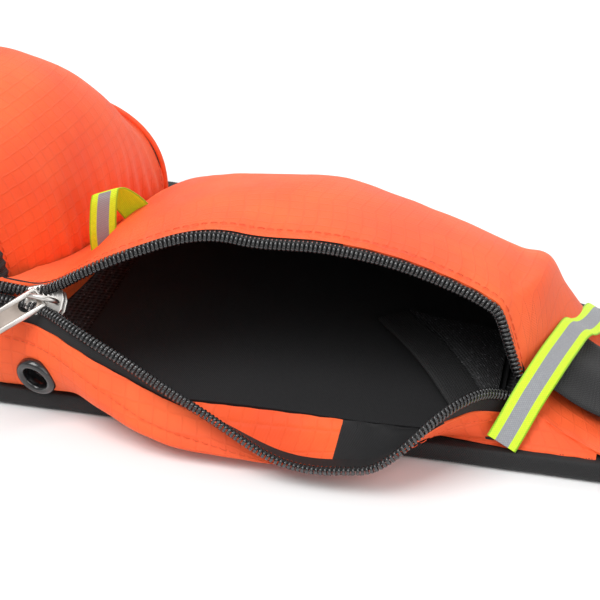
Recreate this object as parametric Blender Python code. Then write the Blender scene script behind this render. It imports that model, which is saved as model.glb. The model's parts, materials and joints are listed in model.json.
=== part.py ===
"""Waist pack with a bottle pocket, two zipped pouches and a webbing belt, lying on its back. Metres, +Z up.

+X runs along the belt, -Y is the edge with the zips, +Y the edge without, and z = 0 is the face that
lies against the wearer. The right pouch is modelled open, with its slider at the inner end of the zip.
"""

import math

import bmesh
import bpy
import numpy as np
from mathutils import Matrix, Vector

GAP = 0.0003  # between pieces that touch
FREE = 0.0007  # between pieces that move past each other

# Back panel, an outline with a straight near edge and a far edge that tapers to the wings
HINGE_X = 0.240
PANEL_END_X = HINGE_X - 0.0025
KNUCKLE_REACH = 0.008
NEAR_Y = -0.078
FAR_Y = 0.076
FAR_FLAT_HALF = 0.061
FAR_END_Y = 0.009
FAR_CORNER = 0.030
PAD_TOP = 0.007
RIM_LOW = 0.0012
RIM_HIGH = 0.0048

# Binding, a folded tape round every edge
BINDING_WIDTH = 0.0085
BINDING_WALL = 0.0009

# Wings
WING_REACH = 0.062
WING_TIP_X = HINGE_X + WING_REACH
WING_SHOULDER = 0.026
WING_SHOULDER_X = HINGE_X + WING_SHOULDER
WING_FLARE = 0.003
WING_MARGIN = 0.003
WING_START = 0.0065
WING_LEVEL = 0.0075

# Belt webbing
WEB_WIDTH = 0.038
WEB_STATION_PITCH = 0.0047
WEB_THICK = 0.0015
WEB_Y = -0.043
WEB_Z = 0.0075
WEB_FREE = 0.046
TAIL = 0.036
TAIL_LEFT = 0.022
WEB_START_X = 0.213
WEB_PIVOT = 0.0024
WEB_FREE_START = 0.0042

# Bottle pocket: stations along Y of its half width and of its top
POCKET_WALL = 0.0012
POCKET_HALF = [(-0.062, 0.0450), (-0.020, 0.0515), (0.020, 0.0560), (0.050, 0.0580), (0.064, 0.0585)]
POCKET_TOP = [(-0.062, 0.066), (-0.040, 0.076), (0.000, 0.081), (0.025, 0.078), (0.045, 0.067), (0.064, 0.047)]
POCKET_SQUARE = 2.6
POCKET_BULGE = 0.006
BOTTLE_END_SHARE = 0.94
MOUTH_BAND = 0.010

# Pouches: the closed zip runs straight from ZIP_IN to ZIP_OUT
ZIP_IN = Vector((0.063, -0.070, 0.034))
ZIP_OUT = Vector((0.208, -0.063, 0.017))
ZIP_START_X = 0.0475
ZIP_END_X = 0.2095
ZIP_TILT = math.radians(50)
TAPE_HALF = 0.008
TAPE_THICK = 0.0012
CHAIN_SLIT = 0.0018
POUCH_WALL = 0.0012
POUCH_END_X = 0.234
WALL_END_X = POUCH_END_X - 0.004
SEAM_MIDDLE_X = 0.135
SEAM_INSET = 0.0098
SEAM_Z = 0.0090
ROOT_Y = -0.0765
ROOT_Z = 0.0072
POUCH_RISE = [(0.047, 0.004), (0.060, 0.012), (0.074, 0.034), (0.098, 0.046), (0.127, 0.046), (0.155, 0.041), (0.180, 0.038),
              (0.208, 0.030), (0.234, 0.026)]
POUCH_SWELL = [(0.047, -0.014), (0.060, -0.012), (0.072, 0.003), (0.085, 0.011), (0.165, 0.010), (0.208, -0.002), (0.234, -0.002)]
POUCH_SHOULDER = 0.19
END_FALL = [(0.2145, 1.0), (0.221, 0.72), (0.228, 0.33), (0.234, 0.08)]
FLAP_IN_X = 0.088
FLAP_OUT_X = 0.172
FLAP_GAP = 0.004
UPPER_OPEN = math.radians(15.4)
LOWER_OPEN = math.radians(117.0)
LOWER_CLEAR = 0.0035
EYELET_X = 0.062
EYELET_UP = 0.0095
EYELET_OUTER = 0.0068
EYELET_HOLE = 0.0040
EYELET_THICK = 0.0010
EYELET_NECK = 0.0048

# Slider and pull tab
SLIDER_LENGTH = 0.011
SLIDER_HALF = 0.0046
SLIDER_PLATE = 0.0012
SLIDER_POST = 0.0011
BAIL_HIGH = 0.0058
BAIL_WIDE = 0.0014
BAIL_THICK = 0.0011
BAIL_REACH = 0.80
PULL_LENGTH = 0.033
PULL_WIDTH = 0.0076
PULL_THICK = 0.0016
PULL_BAR = 0.0010
PULL_EYE = 0.0052
PULL_EYE_WIDE = 0.0060
PULL_SEAT = 0.00300
PULL_SEAT_UP = 0.0023
PULL_FALL = {"right": math.radians(46), "left": math.radians(10)}
PULL_DROOP = {"right": math.radians(-11), "left": math.radians(3)}
SLIDER_END = 0.009

# Trim
REFLECT_WIDTH = 0.010
REFLECT_THICK = 0.0006
REFLECT_X = 0.211
REFLECT_LEAN = 0.19
LOOP_TOP = 0.0455
LOOP_BASE_Y = -0.022
LOOP_SPREAD = 0.016
LOOP_CLEAR = 0.0048
LOOP_TWIST = 0.0045
LINING_THICK = 0.0008
LINING_START_X = 0.066
LINING_END_X = 0.204
BAND_WIDTH = 0.012
BAND_A = (0.166, -0.030)
BAND_B = (0.188, -0.056)
MESH_END_X = 0.202

# Side-release buckle
BUCKLE_WIDTH = 0.050
BUCKLE_THICK = 0.014
SOCKET_LENGTH = 0.046
SOCKET_DEPTH = 0.030
SOCKET_WALL = 0.0022
BAR_RADIUS = 0.0020
BAR_OUT = 0.0085
WEB_SLOT = 0.0125
FRAME_LENGTH = 0.026
FRAME_THICK = 0.010
PRONG_LENGTH = 0.026
PRONG_WIDTH = 0.0050
PRONG_THICK = 0.0072
TONGUE_WIDTH = 0.0070
KEEPER_WALL = 0.0014
KEEPER_LENGTH = 0.008
KEEPER_SETBACK = 0.020
KEEPER_X = WING_TIP_X + KEEPER_SETBACK

COLOURS = {
    "orange": ((0.90, 0.13, 0.03), 0.75, 0.0),
    "lining": ((0.05, 0.05, 0.055), 0.85, 0.0),
    "mesh": ((0.02, 0.02, 0.02), 0.9, 0.0),
    "webbing": ((0.018, 0.018, 0.020), 0.8, 0.0),
    "reflective": ((0.62, 0.85, 0.06), 0.6, 0.0),
    "zip": ((0.012, 0.012, 0.014), 0.55, 0.0),
    "nickel": ((0.55, 0.54, 0.52), 0.28, 1.0),
    "lacquer": ((0.015, 0.015, 0.015), 0.25, 0.3),
    "plastic": ((0.02, 0.02, 0.022), 0.4, 0.0),
}


# ---- Shapes -------------------------------------------------------------------------------------


def curve_through(points, x):
    """The value at x of a smooth curve through (x, value) points, level at both ends."""
    xs = np.array([p[0] for p in points])
    ys = np.array([p[1] for p in points])
    slopes = np.zeros(len(xs))
    slopes[1:-1] = (ys[2:] - ys[:-2]) / (xs[2:] - xs[:-2])
    x = min(max(x, xs[0]), xs[-1])
    i = min(int(np.searchsorted(xs, x, side="right")) - 1, len(xs) - 2)
    h = xs[i + 1] - xs[i]
    t = (x - xs[i]) / h
    rise = (2 * t**3 - 3 * t**2 + 1) * ys[i] + (3 * t**2 - 2 * t**3) * ys[i + 1]
    return float(rise + h * ((t**3 - 2 * t**2 + t) * slopes[i] + (t**3 - t**2) * slopes[i + 1]))


def solid(name, points, faces, colour, origin=(0, 0, 0)):
    """A named object from world points, its faces turned outward, its own origin where asked."""
    mesh = bpy.data.meshes.new(name)
    mesh.from_pydata([tuple(Vector(p) - Vector(origin)) for p in points], [], faces)
    bm = bmesh.new()
    bm.from_mesh(mesh)
    bmesh.ops.recalc_face_normals(bm, faces=bm.faces)
    bm.to_mesh(mesh)
    bm.free()
    base, rough, metal = COLOURS[colour]
    material = bpy.data.materials.new(name + "_finish")
    material.use_nodes = True
    shader = material.node_tree.nodes["Principled BSDF"]
    shader.inputs["Base Color"].default_value = (*base, 1)
    shader.inputs["Roughness"].default_value = rough
    shader.inputs["Metallic"].default_value = metal
    mesh.materials.append(material)
    obj = bpy.data.objects.new(name, mesh)
    obj.location = origin
    bpy.context.scene.collection.objects.link(obj)
    return obj


def skin(name, grid, thick, colour, origin=(0, 0, 0)):
    """A closed sheet: grid is its outer side, rows of points, and the inner side lies thick behind it."""
    outer = np.array(grid, float)
    rows, cols = outer.shape[:2]
    along = np.gradient(outer, axis=0)
    across = np.gradient(outer, axis=1)
    normal = np.cross(along, across)
    normal /= np.linalg.norm(normal, axis=2, keepdims=True)
    inner = outer - thick * normal
    points = list(outer.reshape(-1, 3)) + list(inner.reshape(-1, 3))
    shift = rows * cols
    faces = []
    for i in range(rows - 1):
        for j in range(cols - 1):
            a = i * cols + j
            quad = (a, a + 1, a + cols + 1, a + cols)
            faces.append(quad)
            faces.append(tuple(shift + k for k in reversed(quad)))
    edge = [(0, j) for j in range(cols)]
    edge += [(i, cols - 1) for i in range(1, rows)]
    edge += [(rows - 1, j) for j in range(cols - 2, -1, -1)]
    edge += [(i, 0) for i in range(rows - 2, 0, -1)]
    ring = [i * cols + j for i, j in edge]
    for a, b in zip(ring, ring[1:] + ring[:1]):
        faces.append((a, b, shift + b, shift + a))
    return solid(name, points, faces, colour, origin)


def prism(name, outline, low, high, colour, axis=2, origin=(0, 0, 0)):
    """An outline of point pairs extruded from low to high along an axis."""
    def point(pair, level):
        values = list(pair)
        values.insert(axis, level)
        return values

    n = len(outline)
    points = [point(p, low) for p in outline] + [point(p, high) for p in outline]
    faces = [tuple(range(n)), tuple(range(2 * n - 1, n - 1, -1))]
    faces += [(i, (i + 1) % n, n + (i + 1) % n, n + i) for i in range(n)]
    return solid(name, points, faces, colour, origin)


def block(name, low, high, colour, origin=(0, 0, 0)):
    outline = [(low[0], low[1]), (high[0], low[1]), (high[0], high[1]), (low[0], high[1])]
    return prism(name, outline, low[2], high[2], colour, origin=origin)


def loft(name, rings, colour, closed=False, origin=(0, 0, 0)):
    """Rings of points joined one to the next, capped unless the last joins the first."""
    n = len(rings[0])
    points = [p for ring in rings for p in ring]
    faces = []
    for r in range(len(rings) if closed else len(rings) - 1):
        a, b = r * n, (r + 1) % len(rings) * n
        faces += [(a + i, a + (i + 1) % n, b + (i + 1) % n, b + i) for i in range(n)]
    if not closed:
        faces.append(tuple(range(n)))
        faces.append(tuple(range(len(points) - 1, len(points) - n - 1, -1)))
    return solid(name, points, faces, colour, origin)


def combine(obj, tool, how):
    """Joins or cuts obj with a hidden tool object, which is then removed."""
    modifier = obj.modifiers.new(how.lower(), "BOOLEAN")
    modifier.operation = how
    modifier.solver = "EXACT"
    modifier.object = tool
    bpy.context.view_layer.update()
    result = bpy.data.meshes.new_from_object(obj.evaluated_get(bpy.context.evaluated_depsgraph_get()))
    obj.modifiers.clear()
    obj.data = result
    bpy.data.objects.remove(tool)
    return obj


def mitred(outline, distance, closed):
    """The outline moved sideways by distance, to the left of its direction."""
    points = np.array(outline, float)
    count = len(points)
    moved = []
    for i in range(count):
        sides = []
        if closed or i > 0:
            sides.append(points[i] - points[i - 1])
        if closed or i < count - 1:
            sides.append(points[(i + 1) % count] - points[i])
        lefts = [np.array((-d[1], d[0])) / np.hypot(*d) for d in sides]
        left = sum(lefts)
        left = left / np.hypot(*left)
        moved.append(tuple(points[i] + left * distance / max(0.5, float(left @ lefts[0]))))
    return moved


def binding(name, path, low=0.0):
    """A folded tape that hugs the rim of a panel along path, with the panel on the path's left."""
    top = RIM_HIGH + RIM_LOW
    wall = BINDING_WALL
    nose = RIM_LOW
    profile = [
        (-BINDING_WIDTH, 0), (0, 0), (nose, nose), (nose, top - nose), (0, top), (-BINDING_WIDTH, top),
        (-BINDING_WIDTH, top - wall), (GAP, top - wall), (GAP, wall), (-BINDING_WIDTH, wall),
    ]
    lines = [(mitred(path, -out, False), low + z) for out, z in profile]
    rings = [[(*line[i], z) for line, z in lines] for i in range(len(path))]
    return loft(name, rings, "webbing")


def arc(centre, radius, start, end, steps):
    """Points on an arc, angles in degrees."""
    turn = np.radians(np.linspace(start, end, steps + 1))
    return [(centre[0] + radius * math.cos(t), centre[1] + radius * math.sin(t)) for t in turn]


# ---- Lines that several pieces share ---------------------------------------------------------------


def far_y(x):
    """The far edge of the back panel."""
    share = (abs(x) - FAR_FLAT_HALF) / (HINGE_X - FAR_FLAT_HALF)
    return FAR_Y + max(0.0, share) * (FAR_END_Y - FAR_Y)


FAR_SLOPE = math.atan2(FAR_Y - FAR_END_Y, HINGE_X - FAR_FLAT_HALF)
ZIP_ACROSS = Vector((0, math.cos(ZIP_TILT), math.sin(ZIP_TILT)))
ZIP_OUTWARD = Vector((0, -math.sin(ZIP_TILT), math.cos(ZIP_TILT)))
ZIP_ALONG = (ZIP_OUT - ZIP_IN).normalized()
BUCKLE_X = WING_TIP_X + WEB_FREE_START + WEB_FREE
WEB_NEAR = WEB_Y - WEB_WIDTH / 2
WEB_FAR = WEB_Y + WEB_WIDTH / 2
WEB_STATION_COUNT = math.ceil((HINGE_X - 0.004 - WEB_START_X) / WEB_STATION_PITCH) + 1
WEB_STATIONS = np.linspace(WEB_START_X, HINGE_X - 0.004, WEB_STATION_COUNT)


def zip_line(x):
    """The point of the closed zip at x."""
    return ZIP_IN.lerp(ZIP_OUT, (x - ZIP_IN.x) / (ZIP_OUT.x - ZIP_IN.x))


def pocket_half(y):
    return curve_through(POCKET_HALF, y)


def end_fall(x):
    return curve_through(END_FALL, x)


def pouch_profile(x, count=11):
    """The closed pouch's front at x, from the zip tape's far edge over the top to the far seam."""
    fall = end_fall(x)
    start = zip_line(x) + ZIP_ACROSS * (TAPE_HALF + 2 * FREE)
    foot = Vector((x, ROOT_Y, SEAM_Z))
    start = foot.lerp(start, fall)
    seam = Vector((x, far_y(x) - SEAM_INSET, SEAM_Z))
    span = seam.y - start.y
    first = Vector((x, start.y + POUCH_SHOULDER * span, start.z + curve_through(POUCH_SWELL, x) * fall))
    last = Vector((x, seam.y - POUCH_SHOULDER * span, SEAM_Z + curve_through(POUCH_RISE, x) * fall))
    points = []
    for k in range(count):
        t = k / (count - 1)
        curve = start * (1 - t) ** 3 + first * (3 * t * (1 - t) ** 2) + last * (3 * t * t * (1 - t)) + seam * t**3
        points.append(curve)
    return points


def gusset_top(x):
    """Where the near wall meets the zip tape."""
    top = zip_line(x) - ZIP_ACROSS * (TAPE_HALF + FREE)
    return Vector((x, ROOT_Y, ROOT_Z + 0.001)).lerp(top, end_fall(x))


def cover_z(x, y):
    """The height of a closed pouch's outside at a point."""
    profile = [Vector((x, ROOT_Y, ROOT_Z)), gusset_top(x)] + pouch_profile(x)
    return float(np.interp(y, [p.y for p in profile], [p.z for p in profile]))


def web_z(x):
    """The underside of the belt webbing, which lies over the pouch's end and then on the wing."""
    if x > HINGE_X:
        share = (x - HINGE_X) / (WING_TIP_X - HINGE_X)
        return web_z(HINGE_X) * (1 - share) + (WEB_Z - WEB_THICK / 2) * share
    steps = (-0.002, 0, 0.003)
    heights = [cover_z(min(x + step, POUCH_END_X), y) for step in steps for y in np.linspace(WEB_NEAR, WEB_FAR, 5)]
    return max(heights) + FREE


def web_top(x):
    """The webbing's upper face, straight between its stations."""
    return float(np.interp(x, WEB_STATIONS, [web_z(s) for s in WEB_STATIONS])) + WEB_THICK


def mirrored(points, side):
    return [(side * p[0], p[1], p[2]) for p in points]


# ---- Back panel and wings -----------------------------------------------------------------------------


def panel_outline():
    """The back panel's outline, anticlockwise from the near edge's left end."""
    end = PANEL_END_X
    right = [(end, NEAR_Y), (end, far_y(end))]
    sweep = math.degrees(FAR_SLOPE)
    reach = FAR_CORNER * math.tan(FAR_SLOPE / 2)
    centre = (FAR_FLAT_HALF - reach, FAR_Y - FAR_CORNER)
    corner = arc(centre, FAR_CORNER, 90 - sweep, 90, 4)
    left = [(-x, y) for x, y in reversed(right + corner)]
    return right + corner + left


def back_panel():
    outline = panel_outline()
    rim = prism("back_panel", outline, RIM_LOW, RIM_HIGH, "mesh")
    pad = prism("pad", mitred(outline, BINDING_WIDTH + GAP, True), 0, PAD_TOP, "mesh")
    combine(rim, pad, "UNION")
    end = PANEL_END_X
    binding("binding_near", [(-end, NEAR_Y), (end, NEAR_Y)])
    binding("binding_far", outline[1:-1])


def wing_outline(side):
    """The near shoulder, the tip and the far shoulder of a wing, anticlockwise on the right."""
    near_tip, far_tip = WEB_NEAR - WING_MARGIN, WEB_FAR + WING_MARGIN
    start = HINGE_X + WING_START
    far_level = far_y(HINGE_X)
    shoulder_y = far_level + (far_tip - far_level) * 0.55
    points = [(start, NEAR_Y - WING_FLARE / 2), (start + WING_LEVEL, NEAR_Y - WING_FLARE)]
    points += [(WING_SHOULDER_X + 0.010, NEAR_Y), (WING_TIP_X - 0.004, near_tip)]
    points += [(WING_TIP_X, near_tip + 0.004), (WING_TIP_X, far_tip - 0.004), (WING_TIP_X - 0.004, far_tip)]
    points += [(WING_SHOULDER_X + 0.004, shoulder_y), (start + WING_LEVEL, far_level - 0.0008), (start, far_level)]
    return [(side * x, y) for x, y in points]


def wing(side, word):
    """A wing with a round knuckle edge on the hinge axis, and its binding."""
    outline = wing_outline(side)
    pivot = (side * HINGE_X, 0, (RIM_LOW + RIM_HIGH) / 2)
    knuckle = (RIM_HIGH - RIM_LOW) / 2
    panel = prism("wing_" + word, outline, RIM_LOW, RIM_HIGH, "orange", origin=pivot)
    edge = arc((pivot[0], pivot[2]), knuckle, 90, 270, 6)
    if side < 0:
        edge = arc((pivot[0], pivot[2]), knuckle, 90, -90, 6)
    reach = side * (HINGE_X + KNUCKLE_REACH)
    ridge = [(reach, RIM_HIGH)] + edge + [(reach, RIM_LOW)]
    lip = prism("knuckle", ridge, NEAR_Y + FREE, far_y(HINGE_X) - WING_MARGIN, "orange", axis=1)
    combine(panel, lip, "UNION")
    path = outline if side > 0 else outline[::-1]
    binding("wing_binding_" + word, path)


# ---- Bottle pocket ----------------------------------------------------------------------------------------


def pocket_ring(y, shrink=0.0, count=17):
    """The pocket's outside at y, an arch from its right foot to its left foot."""
    half = pocket_half(y) - shrink
    rise = curve_through(POCKET_TOP, y) - PAD_TOP - GAP - shrink
    points = []
    for turn in np.linspace(0, math.pi, count):
        x = half * math.copysign(abs(math.cos(turn)) ** (2 / POCKET_SQUARE), math.cos(turn))
        points.append((x, y, PAD_TOP + GAP + rise * math.sin(turn) ** (2 / POCKET_SQUARE)))
    return points


def bottle_pocket():
    first, last = POCKET_TOP[0][0], POCKET_TOP[-1][0]
    stations = np.linspace(first + MOUTH_BAND + GAP, last, 9)
    skin("bottle_pocket", [pocket_ring(y) for y in stations], POCKET_WALL, "orange")
    band = [pocket_ring(y) for y in np.linspace(first, first + MOUTH_BAND, 3)]
    skin("bottle_mouth_band", band, POCKET_WALL * 1.5, "webbing")
    rows = []
    for k, share in enumerate(np.linspace(0, BOTTLE_END_SHARE, 5)):
        bulge = POCKET_BULGE * (1 - (1 - share) ** 2)
        foot = PAD_TOP + GAP
        ring = pocket_ring(last)
        y = last + POCKET_WALL + GAP + bulge
        rows.append([(x * (1 - share), y, foot + (z - foot) * (1 - share)) for x, _, z in ring])
    skin("bottle_end_mesh", rows, POCKET_WALL, "mesh")


# ---- Pouches -----------------------------------------------------------------------------------------------


def front_rows(x0, x1, count):
    """Profiles of a pouch's front from x0 to x1. At the inner end they follow the bottle pocket's side."""
    rows = []
    for share in np.linspace(0, 1, count):
        row = []
        for k, guide in enumerate(pouch_profile(x0)):
            start = x0
            if x0 <= ZIP_START_X:
                start = max(x0, pocket_half(guide.y) + 2 * FREE)
            x = start + (x1 - start) * share
            row.append(tuple(pouch_profile(x)[k]))
        rows.append(row)
    return rows


def gusset_rows(x0, x1, count, clear=0.0):
    rows = []
    for x in np.linspace(x0, x1, count):
        top = gusset_top(x)
        foot = Vector((x, ROOT_Y, ROOT_Z))
        foot = foot + (top - foot).normalized() * clear
        rows.append([tuple(foot.lerp(top, t)) for t in (0, 0.5, 1)])
    return rows


def tape_rows(x0, x1, sign, count=3):
    """One half of the closed zip's tape and chain, from the chain's slit to the tape's edge."""
    rows = []
    for x in np.linspace(x0, x1, count):
        middle = zip_line(x) + ZIP_OUTWARD * (TAPE_THICK / 2)
        rows.append([tuple(middle + ZIP_ACROSS * sign * w) for w in (CHAIN_SLIT, TAPE_HALF)])
    return rows


def mirror_rows(rows, side):
    turned = [[(side * x, y, z) for x, y, z in row] for row in rows]
    return turned if side > 0 else turned[::-1]


def zip_tapes(name, x0, x1, side, joined):
    """Both halves of a fixed stretch of zip, joined past the end named by joined, at x."""
    halves = []
    for sign in (1, -1):
        rows = mirror_rows(tape_rows(x0, x1, sign), side)
        if sign < 0:
            rows = [row[::-1] for row in rows]
        halves.append(skin(name, rows, TAPE_THICK, "zip"))
    rows = []
    reach = sorted((joined, x0 if abs(joined - x0) < abs(joined - x1) else x1))
    reach = (reach[0] - 0.0005, reach[1] + 0.0005)
    for x in reach:
        middle = zip_line(x) + ZIP_OUTWARD * (TAPE_THICK / 2)
        rows.append([tuple(middle + ZIP_ACROSS * w) for w in (-TAPE_HALF, TAPE_HALF)])
    bridge = skin(name + "_bridge", mirror_rows(rows, side), TAPE_THICK, "zip")
    combine(halves[0], halves[1], "UNION")
    combine(halves[0], bridge, "UNION")
    halves[0].name = name
    return halves[0]


def hinge_flap(obj, pivot, axis, angle):
    """Moves a flap's origin onto its seam and opens it by an angle about that seam."""
    obj.data.transform(Matrix.Translation(-Vector(pivot)))
    obj.location = pivot
    obj.rotation_mode = "AXIS_ANGLE"
    obj.rotation_axis_angle = (angle, *axis)


def right_pouch():
    """The open pouch: fixed ends, and an upper and a lower flap that the slider closes."""
    skin("front_inner_right", front_rows(ZIP_START_X, FLAP_IN_X - FREE, 6), POUCH_WALL, "orange")
    skin("front_outer_right", front_rows(FLAP_OUT_X + FREE, POUCH_END_X, 11), POUCH_WALL, "orange")
    gusset = skin("gusset_inner_right", gusset_rows(ZIP_START_X, FLAP_IN_X - FREE, 5), POUCH_WALL, "orange")
    skin("gusset_outer_right", gusset_rows(FLAP_OUT_X + FREE, WALL_END_X, 8), POUCH_WALL, "orange")
    zip_tapes("zip_inner_right", ZIP_IN.x - SLIDER_LENGTH / 2 - FREE, FLAP_IN_X - FREE, 1, ZIP_START_X)
    zip_tapes("zip_outer_right", FLAP_OUT_X + FREE, ZIP_END_X, 1, ZIP_END_X + 0.001)

    seam = (SEAM_MIDDLE_X, far_y(SEAM_MIDDLE_X) - SEAM_INSET, SEAM_Z)
    axis = (math.cos(FAR_SLOPE), -math.sin(FAR_SLOPE), 0)
    front = skin("front_flap_right", front_rows(FLAP_IN_X, FLAP_OUT_X - FLAP_GAP, 7), POUCH_WALL, "orange")
    tape = skin("zip_upper_right", tape_rows(FLAP_IN_X, FLAP_OUT_X - FLAP_GAP, 1), TAPE_THICK, "zip")
    for piece in (front, tape):
        hinge_flap(piece, seam, axis, -UPPER_OPEN)

    root = (SEAM_MIDDLE_X, ROOT_Y, ROOT_Z)
    rows = gusset_rows(FLAP_IN_X, FLAP_OUT_X, 4, LOWER_CLEAR)
    wall = skin("gusset_flap_right", rows, POUCH_WALL, "orange")
    rows = [row[::-1] for row in tape_rows(FLAP_IN_X, FLAP_OUT_X, -1)]
    tape = skin("zip_lower_right", rows, TAPE_THICK, "zip")
    for piece in (wall, tape):
        hinge_flap(piece, root, (-1, 0, 0), -LOWER_OPEN)
    return gusset


def left_pouch():
    """The closed pouch, the right one's mirror image."""
    skin("front_left", mirror_rows(front_rows(ZIP_START_X, POUCH_END_X, 18), -1), POUCH_WALL, "orange")
    rows = mirror_rows(gusset_rows(ZIP_START_X, WALL_END_X, 12), -1)
    gusset = skin("gusset_left", rows, POUCH_WALL, "orange")
    zip_tapes("zip_left", ZIP_START_X, ZIP_END_X, -1, ZIP_END_X + 0.001)
    return gusset


def frame_at(point, side):
    """Axes of the zip at a point: along it away from the middle, across it upward, and outward."""
    along = Vector((side * ZIP_ALONG.x, ZIP_ALONG.y, ZIP_ALONG.z))
    across = (ZIP_ACROSS - along * along.dot(ZIP_ACROSS)).normalized()
    out = along.cross(across) if side > 0 else across.cross(along)
    place = Matrix((along, across, out)).transposed().to_4x4()
    place.translation = Vector((side * point.x, point.y, point.z))
    return place


def slider(side, word, x):
    """A zip slider: two plates joined by a post, with a bail that carries the pull."""
    place = frame_at(zip_line(x), side)
    half = SLIDER_LENGTH / 2
    low = TAPE_THICK / 2 + FREE
    body = [
        (-SLIDER_HALF, low), (-SLIDER_POST, low), (-SLIDER_POST, -low), (-SLIDER_HALF, -low),
        (-SLIDER_HALF, -low - SLIDER_PLATE), (SLIDER_HALF, -low - SLIDER_PLATE), (SLIDER_HALF, -low),
        (SLIDER_POST, -low), (SLIDER_POST, low), (SLIDER_HALF, low), (SLIDER_HALF, low + SLIDER_PLATE),
        (-SLIDER_HALF, low + SLIDER_PLATE),
    ]
    name = "slider_" + word
    obj = prism(name, body, -half, half, "nickel", axis=0)
    top = low + SLIDER_PLATE
    foot, reach, inner = top - SLIDER_PLATE / 2, half * BAIL_REACH, half * BAIL_REACH - BAIL_THICK
    arch = [(-reach, foot), (-reach, top + BAIL_HIGH - BAIL_THICK), (-inner, top + BAIL_HIGH)]
    arch += [(inner, top + BAIL_HIGH), (reach, top + BAIL_HIGH - BAIL_THICK), (reach, foot), (inner, foot)]
    arch += [(inner, top + BAIL_HIGH - BAIL_THICK), (-inner, top + BAIL_HIGH - BAIL_THICK), (-inner, foot)]
    bail = prism("bail", arch, -BAIL_WIDE / 2, BAIL_WIDE / 2, "nickel", axis=1)
    combine(obj, bail, "UNION")
    obj.matrix_world = place


def pull(side, word, x):
    """The pull tab: its end bar lies under the bail, whose leg stands in the tab's eye."""
    half = PULL_WIDTH / 2
    head = PULL_BAR / 2
    tab = [(head, half * 0.7), (head, -half * 0.7), (head - half * 0.3, -half)]
    tab += arc((half - PULL_LENGTH, 0), half * 0.9, 270, 90, 6)
    tab += [(head - half * 0.3, half)]
    base = frame_at(zip_line(x), side)
    run = -SLIDER_LENGTH * BAIL_REACH / 2 + PULL_SEAT
    seat = (run, 0, TAPE_THICK / 2 + FREE + SLIDER_PLATE + PULL_SEAT_UP)
    turn = Matrix.Rotation(PULL_FALL[word], 4, "Z") @ Matrix.Rotation(-PULL_DROOP[word], 4, "Y")
    place = base @ Matrix.Translation(seat) @ turn
    obj = prism("pull_" + word, tab, -PULL_THICK / 2, PULL_THICK / 2, "nickel")
    inner, outer, wide = -head, -head - PULL_EYE, PULL_EYE_WIDE / 2
    corner = PULL_EYE_WIDE / 4
    hole = [(inner, -wide), (inner, wide), (outer + corner, wide), (outer, wide - corner), (outer, corner - wide)]
    hole += [(outer + corner, -wide)]
    eye = prism("eye", hole, -PULL_THICK, PULL_THICK, "nickel")
    combine(obj, eye, "DIFFERENCE")
    obj.matrix_world = place


def eyelet(word, side, gusset):
    """A two-part eyelet through the near wall."""
    foot = Vector((EYELET_X, ROOT_Y, ROOT_Z))
    up = (gusset_top(EYELET_X) - foot).normalized()
    centre = foot + up * EYELET_UP
    out = Vector((1, 0, 0)).cross(up)
    place = Matrix(((side, 0, 0), up, out)).transposed().to_4x4()
    place.translation = Vector((side * centre.x, centre.y, centre.z))
    hole = turned("hole", [(0, 0.004), (EYELET_NECK + GAP, 0.004), (EYELET_NECK + GAP, -0.004), (0, -0.004)], "lacquer")
    hole.matrix_world = place
    combine(gusset, hole, "DIFFERENCE")
    face = [
        (EYELET_HOLE, GAP + EYELET_THICK), (EYELET_OUTER - 0.0008, GAP + EYELET_THICK), (EYELET_OUTER, GAP),
        (EYELET_NECK, GAP), (EYELET_NECK, -POUCH_WALL - GAP), (EYELET_HOLE, -POUCH_WALL - GAP),
    ]
    front = turned("eyelet_" + word, face, "lacquer")
    front.matrix_world = place
    back = -POUCH_WALL - 2 * GAP
    ring = [(EYELET_HOLE, back), (EYELET_OUTER, back), (EYELET_OUTER, back - 0.0008), (EYELET_HOLE, back - 0.0008)]
    washer = turned("eyelet_washer_" + word, ring, "lacquer")
    washer.matrix_world = place


def turned(name, profile, colour, steps=16):
    """A profile of (radius, height) points turned round Z."""
    rings = []
    on_axis = profile[0][0] == 0
    body = profile[1:-1] if on_axis else profile
    for k in range(steps):
        turn = 2 * math.pi * k / steps
        rings.append([(r * math.cos(turn), r * math.sin(turn), z) for r, z in body])
    if not on_axis:
        return loft(name, rings, colour, closed=True)
    low = [ring[-1] for ring in rings]
    high = [ring[0] for ring in rings]
    return loft(name, [low, high], colour)


# ---- Trim and lining -----------------------------------------------------------------------------------------


def reflective_tape(side, word):
    """A tape over the pouch's end and the webbing's end, from the near binding to the far one."""
    rows = []
    far = far_y(REFLECT_X) - SEAM_INSET
    for y in np.linspace(ROOT_Y, far, 16):
        middle = REFLECT_X + REFLECT_LEAN * (y - NEAR_Y)
        row = []
        for across in np.linspace(-REFLECT_WIDTH / 2, REFLECT_WIDTH / 2, 4):
            x = middle + across
            z = cover_z(min(x, POUCH_END_X), y) + 2 * FREE
            if WEB_NEAR - 0.006 < y < WEB_FAR + 0.006:
                z = max(z, web_top(x - 0.002) + FREE, web_top(x + 0.002) + FREE)
            row.append((x, y, z + REFLECT_THICK))
        rows.append(row)
    rows = [row[::-1] for row in rows]
    skin("reflective_tape_" + word, mirror_rows(rows, side), REFLECT_THICK, "reflective")


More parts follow.
